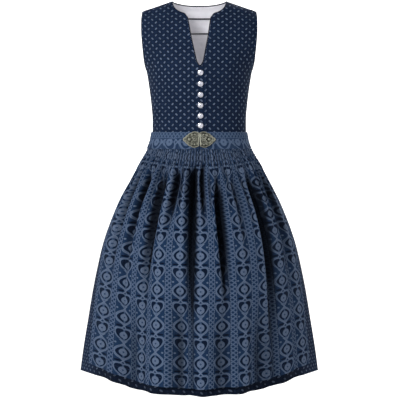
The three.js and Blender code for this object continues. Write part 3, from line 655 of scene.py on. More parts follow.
def work_out(tree: Tree, known: dict[str, Socket], sums: str) -> dict[str, Socket]:
    """Works out a pattern from a list of sums.

    Each is "name = sum", or "name := sum" where the result is held between 0 and 1. A sum is
    "a * b + c", two values with a sign between them, or a math node's operation and its values.

    Args:
        tree: The material's node tree.
        known: Named values to start from.
        sums: The sums, with a semicolon or a new line between them.

    Returns:
        All named values.
    """
    values = dict(known)
    for row in filter(str.strip, sums.replace("\n", ";").split(";")):
        name, equals, *words = row.split()
        if words[1] in SIGNS:
            operation = "MULTIPLY_ADD" if len(words) == 5 else SIGNS[words[1]]
            words = words[::2]
        else:
            operation, *words = words
        settings = {"operation": operation.upper(), "use_clamp": equals == ":="}
        links = {i: values[word] if word in values else float(word) for i, word in enumerate(words)}
        values[name] = add_node(tree, "ShaderNodeMath", settings, links).outputs[0]
    return values


def new_material(name: str) -> tuple[Material, Tree]:
    """A material with an empty node tree."""
    material = bpy.data.materials.new(name)
    material.use_nodes = True
    material.node_tree.nodes.clear()
    return material, material.node_tree


def cloth_places(tree: Tree) -> dict[str, Socket]:
    """Places in the flat cloth, in millimetres: u across its grain and v along it."""
    uv = add_node(tree, "ShaderNodeUVMap", {"uv_map": "cloth"}, {}).outputs[0]
    parts = add_node(tree, "ShaderNodeSeparateXYZ", {}, {0: uv})
    return {"uv": uv, "u": parts.outputs[0], "v": parts.outputs[1]}


def noise(tree: Tree, place: Socket, scale: float, detail: float) -> Socket:
    """Soft noise about a half, in cells of one over the scale."""
    links = {"Vector": place, "Scale": scale, "Detail": detail}
    return add_node(tree, "ShaderNodeTexNoise", {}, links).outputs[0]


def mix(tree: Tree, share: Socket, first: Socket | str, second: str) -> Socket:
    """Turns a colour, a socket or an sRGB text, to a second one by a share."""
    start = linear(first) if isinstance(first, str) else first
    links = {0: share, 6: start, 7: linear(second)}
    return add_node(tree, "ShaderNodeMix", {"data_type": "RGBA"}, links).outputs[2]


def surface(tree: Tree, inputs: dict) -> None:
    """Ends a material with the general shader and these inputs."""
    shader = add_node(tree, "ShaderNodeBsdfPrincipled", {}, inputs)
    add_node(tree, "ShaderNodeOutputMaterial", {}, {"Surface": shader.outputs[0]})


def bump(tree: Tree, strength: float, distance: float, height: Socket) -> Socket:
    """Normals of a fine relief."""
    links = {"Strength": strength, "Distance": distance, "Height": height}
    return add_node(tree, "ShaderNodeBump", {}, links).outputs[0]


@dataclass(frozen=True)
class Weave:
    """How a woven cloth's surface takes the light: a fine grain of threads and a soft sheen."""

    pitch: float
    relief: float
    roughness: float
    sheen: float
    sheen_tint: str

    def finish(self, tree: Tree, places: dict[str, Socket], colour: Socket) -> None:
        """Ends a cloth's material: threads over and under each other, slubs and a soft sheen.

        The thread relief is the product of two sines, drawn at a pitch coarse enough to show. The
        cloth's colour takes painted shade towards the bottom of a fold, where its own layers keep
        the light out.

        Args:
            tree: The material's node tree.
            places: Places in the flat cloth.
            colour: The cloth's colour.
        """
        known = {**places, "slubs": noise(tree, places["uv"], 0.35, 4.0)}
        turns = TURN / self.pitch
        height = work_out(tree, known, f"""
            warp = u * {turns}; weft = v * {turns}; warp_wave = sine warp; weft_wave = sine weft
            threads = warp_wave * weft_wave; height = slubs * 2.2 + threads
        """)["height"]
        # Painted shade: the hollow mark turns the colour towards near-black deep in folds and between
        # gathers.
        hollow = add_node(tree, "ShaderNodeAttribute", {"attribute_name": "hollow"}, {}).outputs["Fac"]
        surface(tree, {
            "Base Color": mix(tree, hollow, colour, PAINTED_FOLD_SHADE),
            "Roughness": self.roughness,
            "Specular IOR Level": 0.04,
            "Sheen Weight": self.sheen,
            "Sheen Roughness": 0.45,
            "Sheen Tint": linear(self.sheen_tint),
            "Normal": bump(tree, 0.6, self.relief * MM, height),
        })


@dataclass(frozen=True)
class PrintedCotton:
    """Navy cotton printed with small pale sprigs: the print is flat and only the weave stands up."""

    halo: str = "040917"
    ground: str = "0b1526"
    ground_light: str = "111e33"
    sprig: str = "566278"
    dot: str = "182438"
    column: float = 11.5
    repeat: float = 19.0
    lean: float = 48.0
    half_length: float = 4.1
    half_width: float = 2.25
    weave: Weave = Weave(1.1, 0.12, 0.86, 0.03, "5f76a5")

    def sums(self) -> str:
        """Ovals in columns, leaning to alternate sides, veined, in dark halos, with a dot between two."""
        cosine, sine = math.cos(math.radians(self.lean)), math.sin(math.radians(self.lean))
        return f"""
            cell = u / {self.column}; column = floor cell; part = fract cell
            x = part * {self.column} + {-self.column / 2}; pair = modulo column 2
            odd = absolute pair; shifted = odd * {self.repeat / 2} + v
            count = shifted / {self.repeat}; share = fract count
            y = share * {self.repeat} + {-self.repeat / 2}; way = odd * 2 + -1; sx = x * way
            a = sx * {sine}; ahead = y * {cosine} + a; b = sx * {cosine}; across = y * {-sine} + b
            e = ahead / {self.half_length}; f = across / {self.half_width}; ee = e * e
            d = f * f + ee; oval := d * -1.3 + 1.75; halo := d * -0.42 + 1.75
            dark = halo * 0.75; vein = absolute across; veined := vein * 0.9 + 0.62
            sprig = oval * veined; far = absolute y; gap = {self.repeat / 2} - far
            gg = gap * gap; r = x * x + gg; dot := r * -0.9 + 1.6
            ink := worn * 1.5 + 0; uneven = sprig * ink
        """

    def material(self) -> Material:
        """The print on a ground that is faded in places, with ink that is uneven."""
        material, tree = new_material("printed_cotton_plain_weave")
        places = cloth_places(tree)
        known = {**places, "worn": noise(tree, places["uv"], 0.13, 3.0)}
        values = work_out(tree, known, self.sums())
        colour = mix(tree, noise(tree, places["uv"], 0.02, 3.0), self.ground, self.ground_light)
        for share, ink in (("dot", self.dot), ("dark", self.halo), ("uneven", self.sprig)):
            colour = mix(tree, values[share], colour, ink)
        self.weave.finish(tree, places, colour)
        return material


@dataclass(frozen=True)
class StripedCotton:
    """Blue cotton woven in stripes: a chain of hearts and rounds, then a narrow lattice."""

    name: str = "striped_cotton_satin_ground"
    dark: str = "040a18"
    ground: str = "162841"
    middle: str = "334157"
    pale: str = "5a6578"
    period: float = 62.0
    ornament: float = 22.2
    lattice: float = 8.3
    gathered: float = 0.84
    motif: float = 45.5
    first: float = 18.0
    diamond_width: float = 13.2
    diamond_height: float = 10.8
    weave: Weave = Weave(1.0, 0.1, 0.85, 0.02, "93a0b8")

    def sums(self) -> str:
        """The pattern's sums, where x and y count from the middle of a motif, in millimetres.

        A round is a pale disc in a dark lozenge, |x| / a + |y| / b with the exponent 1.5, inside a
        pale band with a finer line in it. A heart has y less 0.55 |x| in place of y in an ellipse,
        so that it has two lobes and a tip. A pale stem parts the dark of each into two commas. The
        bands run on over the edge between two motifs as a cross. Dark leaves lie on the edge above
        each heart and pale rounds on that below it. The lattice has two columns of dark diamonds,
        where the sines of two crossing slants are both large.
        """
        half = self.period / 2
        across = math.pi * self.period / self.diamond_width
        start = across * (self.diamond_width / 4 - half) / self.period
        return f"""
            cell = u * {1 / self.period} + 0.5; wrapped = fract cell
            x_wide = wrapped * {self.period} + {-half}; ax_wide = absolute x_wide
            in_ornament = less_than ax_wide {self.ornament}
            x = x_wide * {self.gathered}; ax = absolute x
            count = v * {1 / self.motif} + {0.5 - self.first / self.motif}; turn = fract count
            y = turn * {self.motif} + {-self.motif / 2}; ay = absolute y
            pair = count * 0.5; phase = fract pair; heart = less_than phase 0.5
            round = 1 - heart; xx = ax * ax; yd = heart * 1.4 + y; rr = yd * yd + xx; r = sqrt rr
            around = arctan2 yd x; around_8 = around * 8; petals = cosine around_8
            disc := r * -0.9 + 8.7; core := r * -1.1 + 2.9
            ring_off = r - 4.6; ring_far = absolute ring_off; flower := ring_far * -0.7 + 1
            flower_cut = flower * petals
            sx = ax / 14.9; sy = ay / 14.8; sxp = power sx 1.5; syp = power sy 1.5
            lozenge = sxp + syp
            hy0 = ax * -0.55 + y; hy = hy0 + 2.2; hx = ax / 15.6; hyd = hy / 13.4
            hxx = hx * hx; heart_form = hyd * hyd + hxx
            form_a = heart * heart_form; form = round * lozenge + form_a
            hollow := form * -8 + 8.4; band_inner := form * 8 + -8
            band_outer := form * -5 + 8.8; band_whole = band_inner * band_outer
            vein_off = form - 1.34; vein_far = absolute vein_off; vein := vein_far * -9 + 1
            band := vein * -0.3 + band_whole
            stem := ax * -0.6 + 1.9; no_stem = stem * -0.85 + 1; commas = hollow * no_stem
            gap = {self.motif / 2} - ay; slant = gap * -0.95 + ax; slant_off = absolute slant
            stroke := slant_off * -0.8 + 2.1; near_edge := gap * -0.5 + 5
            cross = stroke * near_edge
            above = greater_than y 0; same = above - heart; differ = absolute same
            leaf_place = 1 - differ; lx0 = ax - 10.5; lx = lx0 / 6.4; ly = gap / 2.3
            lyy = ly * ly; leaf_form = lx * lx + lyy; leaf0 := leaf_form * -2.4 + 2.8
            leaf = leaf0 * leaf_place
            dx = ax - 15.4; dxx = dx * dx; dot_form = gap * gap + dxx
            dot0 := dot_form * -0.25 + 1.9; dot = dot0 * differ
            pale0 = maximum band cross; pale1 = maximum pale0 dot
            stem_pale = hollow * stem; pale2 := stem_pale * 0.6 + pale1
            tone0 = pale2 * 0.58 + 0.24; tone1 = commas * -0.2 + tone0
            tone2 = leaf * -0.4 + tone1; tone3 = maximum tone2 0
            disc_tone0 = flower_cut * 0.13 + 0.8; disc_tone = core * -0.4 + disc_tone0
            off_disc = 1 - disc; tone4 = tone3 * off_disc; tone5 = disc * disc_tone + tone4
            away = {half} - ax_wide; in_lattice = less_than away {self.lattice}
            own_cell = u * {1 / self.period}; own = fract own_cell
            slant_x = own * {across} + {start}
            slant_v = v * {math.pi / self.diamond_height}
            pk = slant_x + slant_v; qk = slant_x - slant_v; ps = sine pk; qs = sine qk
            pa = absolute ps; qa = absolute qs; least = minimum pa qa
            diamond := least * 4 + -2.1; bars := least * -4 + 1.2
            selvedge_off = away - 7.3; selvedge_far = absolute selvedge_off
            selvedge := selvedge_far * -1.2 + 1.2; line = maximum bars selvedge
            lattice0 = line * 0.2 + 0.6; lattice1 := diamond * -0.42 + lattice0
            lattice_part = lattice1 * in_lattice; tone = tone5 * in_ornament + lattice_part
            centred = fleck - 0.5; flecked := centred * 0.45 + tone
        """

    def material(self) -> Material:
        """The pattern as tones of one blue, broken up by flecks where threads cross."""
        material, tree = new_material(self.name)
        places = cloth_places(tree)
        known = {**places, "fleck": noise(tree, places["uv"], 0.5, 2.0)}
        tone = work_out(tree, known, self.sums())["flecked"]
        ramp = add_node(tree, "ShaderNodeValToRGB", {}, {0: tone})
        stops = ((0.0, self.dark), (0.3, self.ground), (0.65, self.middle), (1.0, self.pale))
        elements = ramp.color_ramp.elements
        for at, _ in stops[1:-1]:
            elements.new(at)
        for element, (at, colour) in zip(elements, stops):
            element.position = at
            element.color = linear(colour)
        self.weave.finish(tree, places, ramp.outputs[0])
        return material


@dataclass(frozen=True)
class PlainCotton:
    """Plain woven cotton in one colour: matt, with faint uneven threads."""

    name: str
    colour: str
    shade: str
    weave: Weave

    def material(self) -> Material:
        """Two near colours mixed by a streaky noise, under the weave's relief."""
        material, tree = new_material(self.name)
        places = cloth_places(tree)
        streaks = noise(tree, places["uv"], 0.08, 5.0)
        self.weave.finish(tree, places, mix(tree, streaks, self.colour, self.shade))
        return material


@dataclass(frozen=True)
class OldSilver:
    """Cast or pressed silver: bright where it stands up, dark with patina in its hollows."""

    name: str
    bright: str
    patina: str
    roughness: float

    def material(self) -> Material:
        """Colour and gloss follow the height of the relief, broken up by fine scratches."""
        material, tree = new_material(self.name)
        height = add_node(tree, "ShaderNodeAttribute", {"attribute_name": "relief"}, {}).outputs["Fac"]
        place = add_node(tree, "ShaderNodeTexCoord", {}, {}).outputs["Object"]
        grain = noise(tree, place, 900.0, 4.0)
        values = work_out(tree, {"height": height, "grain": grain}, f"""
            uneven = grain - 0.5; worn := uneven * 0.5 + height
            rough := worn * -0.3 + {self.roughness + 0.25}
        """)
        surface(tree, {
            "Base Color": mix(tree, values["worn"], self.patina, self.bright),
            "Metallic": 1.0,
            "Roughness": values["rough"],
            "Normal": bump(tree, 0.35, 0.2 * MM, grain),
        })
        return material


class Finishes:
    """Every material of the dress."""

    def __init__(self) -> None:
        """Makes the two patterned cottons, the plain ones and the two metals."""
        self.navy = PrintedCotton().material()
        self.apron = StripedCotton().material()
        pressed = StripedCotton("striped_cotton_pressed_band", "18263c", "223046", "35445a", "525f75")
        self.band = pressed.material()
        cottons = (
            ("lining_cotton_plain_weave", "e2e1e6", "d2d1d7", Weave(0.9, 0.08, 0.9, 0.05, "ffffff")),
            ("printed_cotton_wrong_side", "131a2b", "1b2335", Weave(1.1, 0.1, 0.9, 0.08, "8fa0bd")),
            ("striped_cotton_wrong_side", "202e44", "283853", Weave(1.0, 0.1, 0.88, 0.08, "a9bbd6")),
            ("binding_bias_cotton", "070b17", "0c1220", Weave(1.2, 0.15, 0.8, 0.1, "8fa0bd")),
            ("lining_tape_ribbed_cotton", "34353a", "404147", Weave(0.9, 0.12, 0.85, 0.05, "ffffff")),
            ("sewing_thread_mercerised_cotton", "1c2a45", "263758", Weave(0.8, 0.05, 0.6, 0.1, "8fa0bd")),
        )
        made = [PlainCotton(*row).material() for row in cottons]
        self.white, self.wrong_side, self.apron_wrong_side, self.binding, self.tape, self.thread = made
        self.button = OldSilver("button_pressed_silver", "c4c5d0", "33343c", 0.26).material()
        self.clasp = OldSilver("clasp_cast_old_silver", "8b8c80", "0e0f0c", 0.46).material()


@dataclass
class Bodice:
    """The two fronts, the back with its white lining and tapes, and the corded edges."""

    finishes: Finishes
    row_steps: int = 6
    neck_steps: int = 26
    shoulder_steps: int = 34
    overlap: float = 17.0
    underlap: float = 14.0
    stand_lift: float = 2.7
    cord: float = 1.5
    cord_gap: float = 0.1
    cord_sides: int = 12
    lining_gap: float = 0.5
    tape_heights: tuple[float, float] = (326.0, 284.0)
    tape_width: float = 3.6
    tape_cloth: float = 0.8
    tape_gap: float = 0.9
    tape_reach: float = 75.0
    right_creases: tuple[Crease, ...] = (
        Crease(-112, 118, 3, 34, 7, 1.6),
        Crease(-70, 30, -32, 26, 5, 0.9),
        Crease(-120, 14, 60, 20, 4, 0.8),
        Crease(-150, 175, -38, 22, 5, 1.2),
        Crease(-95, 215, -50, 20, 6, 0.7),
    )
    left_creases: tuple[Crease, ...] = (
        Crease(102, 96, -3, 44, 7, 1.7),
        Crease(62, 26, 34, 24, 5, 0.9),
        Crease(124, 20, -58, 18, 4, 0.8),
        Crease(152, 172, 36, 24, 5, 1.2),
        Crease(98, 210, 48, 22, 6, 0.8),
    )
    back_creases: tuple[Crease, ...] = (
        Crease(-92, 70, 4, 44, 7, 1.5),
        Crease(88, 74, -4, 42, 7, 1.5),
        Crease(-40, 28, 78, 30, 4, 0.8),
        Crease(46, 36, -74, 26, 4, 0.7),
        Crease(-120, 178, -34, 26, 6, 1.0),
        Crease(124, 172, 36, 24, 6, 1.0),
        Crease(0, 250, 88, 40, 8, 0.6),
    )

    def __post_init__(self) -> None:
        """Works out the three panels' outer faces."""
        self.rows = np.linspace(0, 16, 16 * self.row_steps + 1)
        self.right = self.front(Side.RIGHT, self.overlap, self.stand_lift, self.right_creases)
        self.left = self.front(Side.LEFT, self.underlap, 0.0, self.left_creases)
        self.rear = self.back()

    def front(self, side: Side, lap: float, raised: float, creases: tuple[Crease, ...]) -> Sheet:
        """One front, out from its button stand or slit.

        Args:
            side: Which side of the body.
            lap: How far the button stand runs past the middle.
            raised: How far the stand lies off the body, over the other one.
            creases: Creases of this front.

        Returns:
            The front's outer face.
        """
        step = np.linspace(0, 5, self.neck_steps)
        neck = NECK_EDGE.at("x", step)[:-1], NECK_EDGE.at("h", step)[:-1]
        inner = PANEL_ROWS.at("inner", self.rows)
        half, axis = SLIT.read("half axis", inner)
        slit = half + side.value * axis
        opens = np.clip((inner - 170) / (SLIT_FOOT - 170), 0, 1)
        edge = np.where(inner >= SLIT_FOOT, slit, -lap + (slit + lap) * opens)

        def lift(across: Points, h: Points) -> Points:
            """The stand lies on top near the middle and sinks to the body beside and above."""
            return raised * (1 - smoothstep(across, 20, 32)) * (1 - smoothstep(h, 180, 215))

        top = chained([neck, shoulder_line(self.shoulder_steps)])
        return panel_sheet(side, Facing.FRONT, top, self.rows, edge, creases, lift)

    def back(self) -> Sheet:
        """The back, joined from its right and left halves at the middle."""
        share = np.linspace(0, 1, self.neck_steps)[:-1]
        neck = share * float(BODY.at("half_width", NECK_POINT)), NECK_POINT - 8 * (1 - share**2.5)
        top = chained([neck, shoulder_line(self.shoulder_steps)])
        middle = np.zeros(len(self.rows))

        def flat(across: Points, h: Points) -> Points:
            """The back lies on the body all over."""
            return np.zeros_like(across + h)

        right, left = (
            panel_sheet(side, Facing.BACK, top, self.rows, middle, self.back_creases, flat) for side in Side
        )
        pairs = [(getattr(right, part), getattr(left, part)) for part in ("points", "normals", "cloth")]
        return Sheet(*(np.concatenate([one[:, :0:-1], other], axis=1) for one, other in pairs))

    def neck_line(self) -> Line:
        """Points and normals up the right edge of the slit, round the neck and down the left."""
        slit, neck = slice(8 * self.row_steps - 2, -1), slice(None, self.neck_steps)
        fronts = (self.right, self.left)
        right, left = (chained([sheet.line(slit, 0), sheet.line(-1, neck)]) for sheet in fronts)
        rear = self.rear.line(-1, slice(self.shoulder_steps, -self.shoulder_steps))
        return chained([right, rear, (left[0][::-1], left[1][::-1])])

    def armhole_line(self, side: Side) -> Line:
        """Points and normals down the front of an armhole, under the arm and up the back."""
        underarm = 7 * self.row_steps
        front, column = (self.right, 0) if side is Side.RIGHT else (self.left, -1)
        up = self.rear.line(slice(underarm, -1), column)
        return chained([front.line(slice(None, underarm, -1), -1), up])

    def cord_along(self, name: str, line: Line, closed: bool, node: str) -> None:
        """A corded edge beside a line, square to the cloth and just clear of its cut.

        Args:
            name: The piece's name.
            line: Points and normals of the cloth's edge.
            closed: Whether the edge is a ring.
            node: The solid that the piece stands for.
        """
        points, normals = line
        middles = points - normals * CLOTH / 2
        if closed:
            ahead = np.roll(middles, -1, axis=0) - np.roll(middles, 1, axis=0)
        else:
            ahead = np.gradient(middles, axis=0)
        out = unit(np.cross(ahead, normals))
        if ((middles - points.mean(axis=0)) * out).sum() > 0:
            out = -out
        path = middles + out * (self.cord + self.cord_gap)
        turn = np.arange(self.cord_sides) * TURN * self.cord / self.cord_sides
        cloth = join(*np.meshgrid(turn, reach_along(path)))
        shell = tube(path, out, self.cord, self.cord_sides, closed)
        dress(make_object(name, shell, cloth, crease_angle=60), [self.finishes.binding], "binding", node)

    def inside(self) -> Sheet:
        """The lining's outer face, a little inside the back and short of its top edge."""
        parts = (self.rear.points, self.rear.normals, self.rear.cloth)
        lining = Sheet(*(part[: -(self.row_steps // 2), 1:-1] for part in parts))
        return lining.shifted(-CLOTH - self.lining_gap)

    def tape(self, h: float, node: str) -> None:
        """A narrow tape across the lining's inner face at a height, for a solid of that name."""
        levels = np.array([-0.5, -0.25, 0.25, 0.5]) * self.tape_width + h
        x, heights = np.meshgrid(np.linspace(-self.tape_reach, self.tape_reach, 61), levels)
        points, normals = body_frame(x, heights, Facing.BACK)
        points[..., 1] += SEAM_GAP / 2
        sheet = Sheet(points, normals, join(x, heights))
        sheet = sheet.shifted(-CLOTH - self.lining_gap - LINING - self.tape_gap)
        piece = wall(node.replace("lining_", ""), sheet, self.tape_cloth)
        dress(piece, [self.finishes.tape] * 2, "lining_tape", node)

    def build(self) -> None:
        """Makes and dresses every piece of the bodice."""
        f = self.finishes
        for name, sheet in (("right", self.right), ("left", self.left)):
            piece = wall(f"front_{name}", sheet, CLOTH)
            dress(piece, [f.navy, f.white], "printed_cotton", f"bodice_front_{name}")
        rear = wall("back", self.rear, CLOTH)
        dress(rear, [f.navy, f.white], "printed_cotton", "bodice_back")
        lining = wall("back_lining", self.inside(), LINING)
        dress(lining, [f.white, f.white], "lining_cotton", "lining_back")
        for h, node in zip(self.tape_heights, ("lining_tape_upper", "lining_tape_lower")):
            self.tape(h, node)
        self.cord_along("neck_cord", self.neck_line(), False, "neck_piping")
        for side in Side:
            name = side.name.lower()
            self.cord_along(f"armhole_cord_{name}", self.armhole_line(side), True, f"armhole_piping_{name}")
        self.topstitch()

    def topstitch(self) -> None:
        """A row of stitches along the button stand's edge and one beside each corded edge."""
        stand = 7 * self.row_steps
        above, slit = slice(stand, None), slice(stand + 8, None)
        lines = [self.right.line(slice(None, stand), 1)]
        for sheet, column in ((self.right, -3), (self.left, -3), (self.rear, 2), (self.rear, -3)):
            lines.append(sheet.line(above, column))
        lines += [self.right.line(slit, 2), self.left.line(slit, 2)]
        Stitching().sew("bodice_topstitch", lines, self.finishes.thread, "printed_cotton")


@dataclass
class Buttons:
    """Six pressed silver buttons with a rim, a ring of petals and a dark eye."""

    finishes: Finishes
    bodice: Bodice
    x: float = 3.2
    heights: tuple[float, ...] = (158.4, 128.5, 100.0, 71.5, 43.5, 17.5)
    gap: float = 0.4
    segments: int = 64
    petals: int = 10
    petal_rise: float = 0.12
    petal_step: float = 8.7
    petal_spread: float = 0.9
    top: float = 3.95
    profile: Table = Table(
        "step r z relief",
        (
            (0, 0.0, 0.0, 0.2), (1, 4.6, 0.0, 0.2), (2, 7.0, 0.7, 0.6), (3, 7.45, 1.4, 0.95),
            (4, 7.2, 2.1, 1.0), (5, 6.4, 2.5, 1.0), (6, 5.9, 2.35, 0.45), (7, 5.5, 2.45, 0.6),
            (8, 4.5, 3.05, 0.95), (9, 3.1, 3.6, 1.0), (10, 2.0, 3.85, 1.0), (11, 1.3, 3.72, 0.5),
            (12, 0.8, 3.75, 0.45), (13, 0.0, 3.85, 0.6),
        ),
    )

    def spot(self, h: float) -> Line:
        """Point and normal of the right front under a button."""
        sheet = self.bodice.right
        away = np.hypot(sheet.points[..., 0] - self.x, sheet.points[..., 2] - h)
        point, normal = sheet.line(*np.unravel_index(np.argmin(away), away.shape))
        shift = np.array([self.x - point[0], 0.0, h - point[2]])
        shift[1] = -(normal[0] * shift[0] + normal[2] * shift[2]) / normal[1]
        return point + shift, normal

    def build(self) -> None:
        """Turns the profile about each button's shank, with petals pressed into the dome.

        A point lies at r (cos t · across + sin t · up) + z · normal, and z gains a small wave of
        as many periods as there are petals where the dome is widest.
        """
        step = np.linspace(0, 13, 53)[1:-1]
        r, z, relief = self.profile.read("r z relief", step)
        t = np.linspace(0, TURN, self.segments, endpoint=False)
        window = np.exp(-0.5 * ((step - self.petal_step) / self.petal_spread) ** 2)[:, None]
        wave = window * np.cos(self.petals * t)
        heights = z[:, None] + self.petal_rise * wave
        relief = np.clip(relief[:, None] + self.petal_rise * (wave - window), 0, 1)
        marks = {"relief": np.concatenate([relief.ravel(), [0.2, 0.5]])}
        for i, h in enumerate(self.heights, start=1):
            point, normal = self.spot(h)
            across = unit(np.cross(UPWARDS, normal))
            turned = np.cos(t)[:, None] * across + np.sin(t)[:, None] * np.cross(normal, across)
            foot = point + normal * self.gap
            grid = foot + r[:, None, None] * turned + heights[..., None] * normal
            shell = capped(grid, [foot, foot + normal * self.top])
            piece = make_object(f"silver_button_{i}", shell, marks=marks, crease_angle=70)
            dress(piece, [self.finishes.button], "button_metal", f"button_{i}")


def band_point(turn: Points, drop: Points) -> Points:
    """Points of the band's outer face: ellipses whose front and back differ, turned about z."""
    width, front, back = BAND.read("half_width front back", drop)
    depth = np.where(np.cos(turn) > 0, front, back)
    return join(width * np.sin(turn), SKIRT_CENTRE - depth * np.cos(turn), -drop)


@dataclass
class Waistband:
    """The apron's band, cut along the stripe, so its chain and lattice run level."""

    finishes: Finishes
    gap: float = math.radians(0.4)
    steps: int = 360
    seam: float = 18.6
    upper_start: float = 39.6
    lower_start: float = 27.0
    padding: float = 0.7
    pull: float = 0.35
    pulls: int = 23
    uneven: float = 1.1
    uneven_turns: int = 5

    def build(self) -> None:
        """Makes the band, a ring that is open behind the clasp, and stitches along its edges.

        Above its seam the band is softly padded, and below it the smocking pulls it in uneven
        waves, a sine whose phase is itself a sine.
        """
        low, high = self.seam - 0.4, self.seam + 0.6
        turn, drop = np.meshgrid(
            np.linspace(self.gap, TURN - self.gap, self.steps + 1),
            np.concatenate([np.linspace(0, low, 9), np.linspace(high, BAND_FOOT, 13)]),
        )
        points = band_point(turn, drop)
        normals = grid_normals(points, join(np.sin(turn), -np.cos(turn), 0))
        normals[..., 2] = 0
        normals = unit(normals)
        padded = np.sin(math.pi * np.clip(drop / self.seam, 0, 1)) ** 0.3
        soft = self.padding * (1 - smoothstep(drop, low, high)) * padded
        phase = turn * self.pulls + self.uneven * np.sin(turn * self.uneven_turns)
        wave = np.sin(phase) * smoothstep(drop, self.seam, BAND_FOOT)
        points = points + normals * (soft + self.pull * wave)[..., None]
        across = np.where(drop < self.seam, self.upper_start, self.lower_start) - drop
        sheet = Sheet(points, normals, join(across, reach_along(points[0])))
        piece = wall("band", sheet, BAND_CLOTH)
        dress(piece, [self.finishes.band, self.finishes.apron_wrong_side], "apron_cotton", "apron_waistband")
        lines = [sheet.line(row, slice(2, -2)) for row in (1, 7, -2)]
        Stitching().sew("band_topstitch", lines, self.finishes.thread, "apron_cotton")


def skirt_form(angle: Points, drop: Points) -> Line:
    """Points of the skirt's form and level vectors that point out of it.

    A level section is x = half width · sin a, y = centre ∓ depth · |cos a| to the power "corner",
    an ellipse at the waist and nearly two parabolas at the hem.

    Args:
        angle: Degrees round the body, 0 at the centre front and 180 at the centre back.
        drop: Distances below the waist.

    Returns:
        The points and the unit vectors.
    """
    turn = np.radians(angle)
    sine, cosine = np.sin(turn), np.cos(turn)
    width, front, back, corner = SKIRT.read("half_width front back corner", drop)
    depth = np.where(cosine > 0, front, back)
    size = np.maximum(np.abs(cosine), SMALLEST_COSINE)
    sign = np.where(cosine > 0, 1.0, -1.0)
    points = join(width * sine, SKIRT_CENTRE - depth * sign * size**corner, -drop)
    return points, unit(join(depth * corner * size ** (corner - 2) * sine, -width * sign, 0))


def mean_radius(drop: Points) -> Points:
    """The skirt's mean radius."""
    return 0.5 * (SKIRT.at("half_width", drop) + SKIRT.at("front", drop))


@dataclass(frozen=True)
class Folds:
    """A panel's folds, each a row as in APRON_FOLDS.

    A fold is the exponential of minus a power of the distance across the cloth, which has a flat
    floor and steep sides, times a smooth rise and fall down it.
    """

    rows: tuple
    power: float = 3.0

    def amounts(self, place: Points, edge: Points | float, drop: Points, aside: float = 0) -> list[tuple]:
        """Width, depth here, distance from the middle and lean of each fold.

        Args:
            place: Places across the panel, from -1 to 1.
            edge: Half the angle that the panel spans, in degrees.
            drop: Distances below the waist.
            aside: Moves where a fold is read towards the panel's edge, by this many of its widths
                times its place, which counts for at most 0.4 on the wearer's right.

        Returns:
            One row for each fold.
        """
        reach = np.radians(edge) * mean_radius(drop)
        found = []
        for at, width, depth, start, deepest, out, rest, lean in self.rows:
            opens = smoothstep(drop, start, deepest)
            closes = 1 - (1 - rest) * smoothstep(drop, deepest, out)
            flank = aside * width * min(-at, 0.4)
            found.append((width, depth * opens * closes, (place - at) * reach + flank, lean))
        return found

    def depth(
        self,
        place: Points,
        edge: Points | float,
        drop: Points,
        widen: float = 1,
        deepen: float = 1,
        aside: float = 0,
    ) -> Points:
        """How far the folds let the cloth fall in, with factors on their widths and depths."""
        return sum(
            deepen * depth * np.exp(-0.5 * np.abs(away / (width * widen)) ** self.power)
            for width, depth, away, _ in self.amounts(place, edge, drop, aside)
        )

    def drift(self, place: Points, edge: Points | float, drop: Points) -> Points:
        """How many degrees the folds draw the cloth aside, as a Gaussian a quarter wider."""
        shift = sum(
            lean * depth * np.exp(-0.5 * (away / (width * 1.25)) ** 2)
            for width, depth, away, lean in self.amounts(place, edge, drop)
        )
        return np.degrees(shift / mean_radius(drop))


@dataclass(frozen=True)
class Gathers:
    """A smocked head: even tubes held by rows of thread, let go at uneven drops."""

    count: int
    height: float
    top: float
    held: float
    gone: float
    rows: tuple[float, ...]
    seed: int
    run_in: float = 7.0
    hidden_cloth: float = 10.0
    painted_shade_between_tubes: float = 0.62

    def turns(self, place: Points) -> Points:
        """Tubes counted from the panel's first edge."""
        return (place + 1) / 2 * self.count

    def hidden(self, place: Points, drop: Points) -> Points:
        """How far the cloth runs on between the tubes: a sine of the same count, in millimetres."""
        held = 1 - smoothstep(drop, self.held, self.gone)
        return self.hidden_cloth * np.sin(TURN * self.turns(place)) * held

    def between(self, place: Points, drop: Points) -> Points:
        """Painted shade between two tubes: a narrow power of a raised cosine, while they hold."""
        valley = (0.5 + 0.5 * np.cos(TURN * self.turns(place))) ** 2.5
        held = 1 - smoothstep(drop, self.held, self.gone)
        return self.painted_shade_between_tubes * valley * held * smoothstep(drop, self.top, self.top + self.run_in)

    def rise(self, place: Points, drop: Points) -> Points:
        """Rounded ridges, the 0.6 power of a raised cosine, pinched at each row of thread.

        Args:
            place: Places across the panel, from -1 to 1.
            drop: Distances below the waist.

        Returns:
            How far the cloth stands out.
        """
        jitter = np.random.default_rng(self.seed).uniform(-1, 1, (4, self.count + 2))
        turns = self.turns(place)
        near = np.clip(np.floor(turns).astype(int), 0, self.count)
        wander = 0.12 * jitter[0][near] * np.sin(math.pi * (turns - near))
        ridge = (0.5 - 0.5 * np.cos(TURN * (turns + wander))) ** 0.6
        release = 1 - smoothstep(drop, self.held + 5 * jitter[1][near], self.gone + 16 * jitter[2][near])
        start = smoothstep(drop, self.top, self.top + self.run_in)
        pinch = 1 - 0.4 * sum(np.exp(-0.5 * ((drop - row) / 1.3) ** 2) for row in self.rows)
        return self.height * (1 + 0.4 * jitter[3][near]) * ridge * release * start * pinch


Range = tuple[float, float]


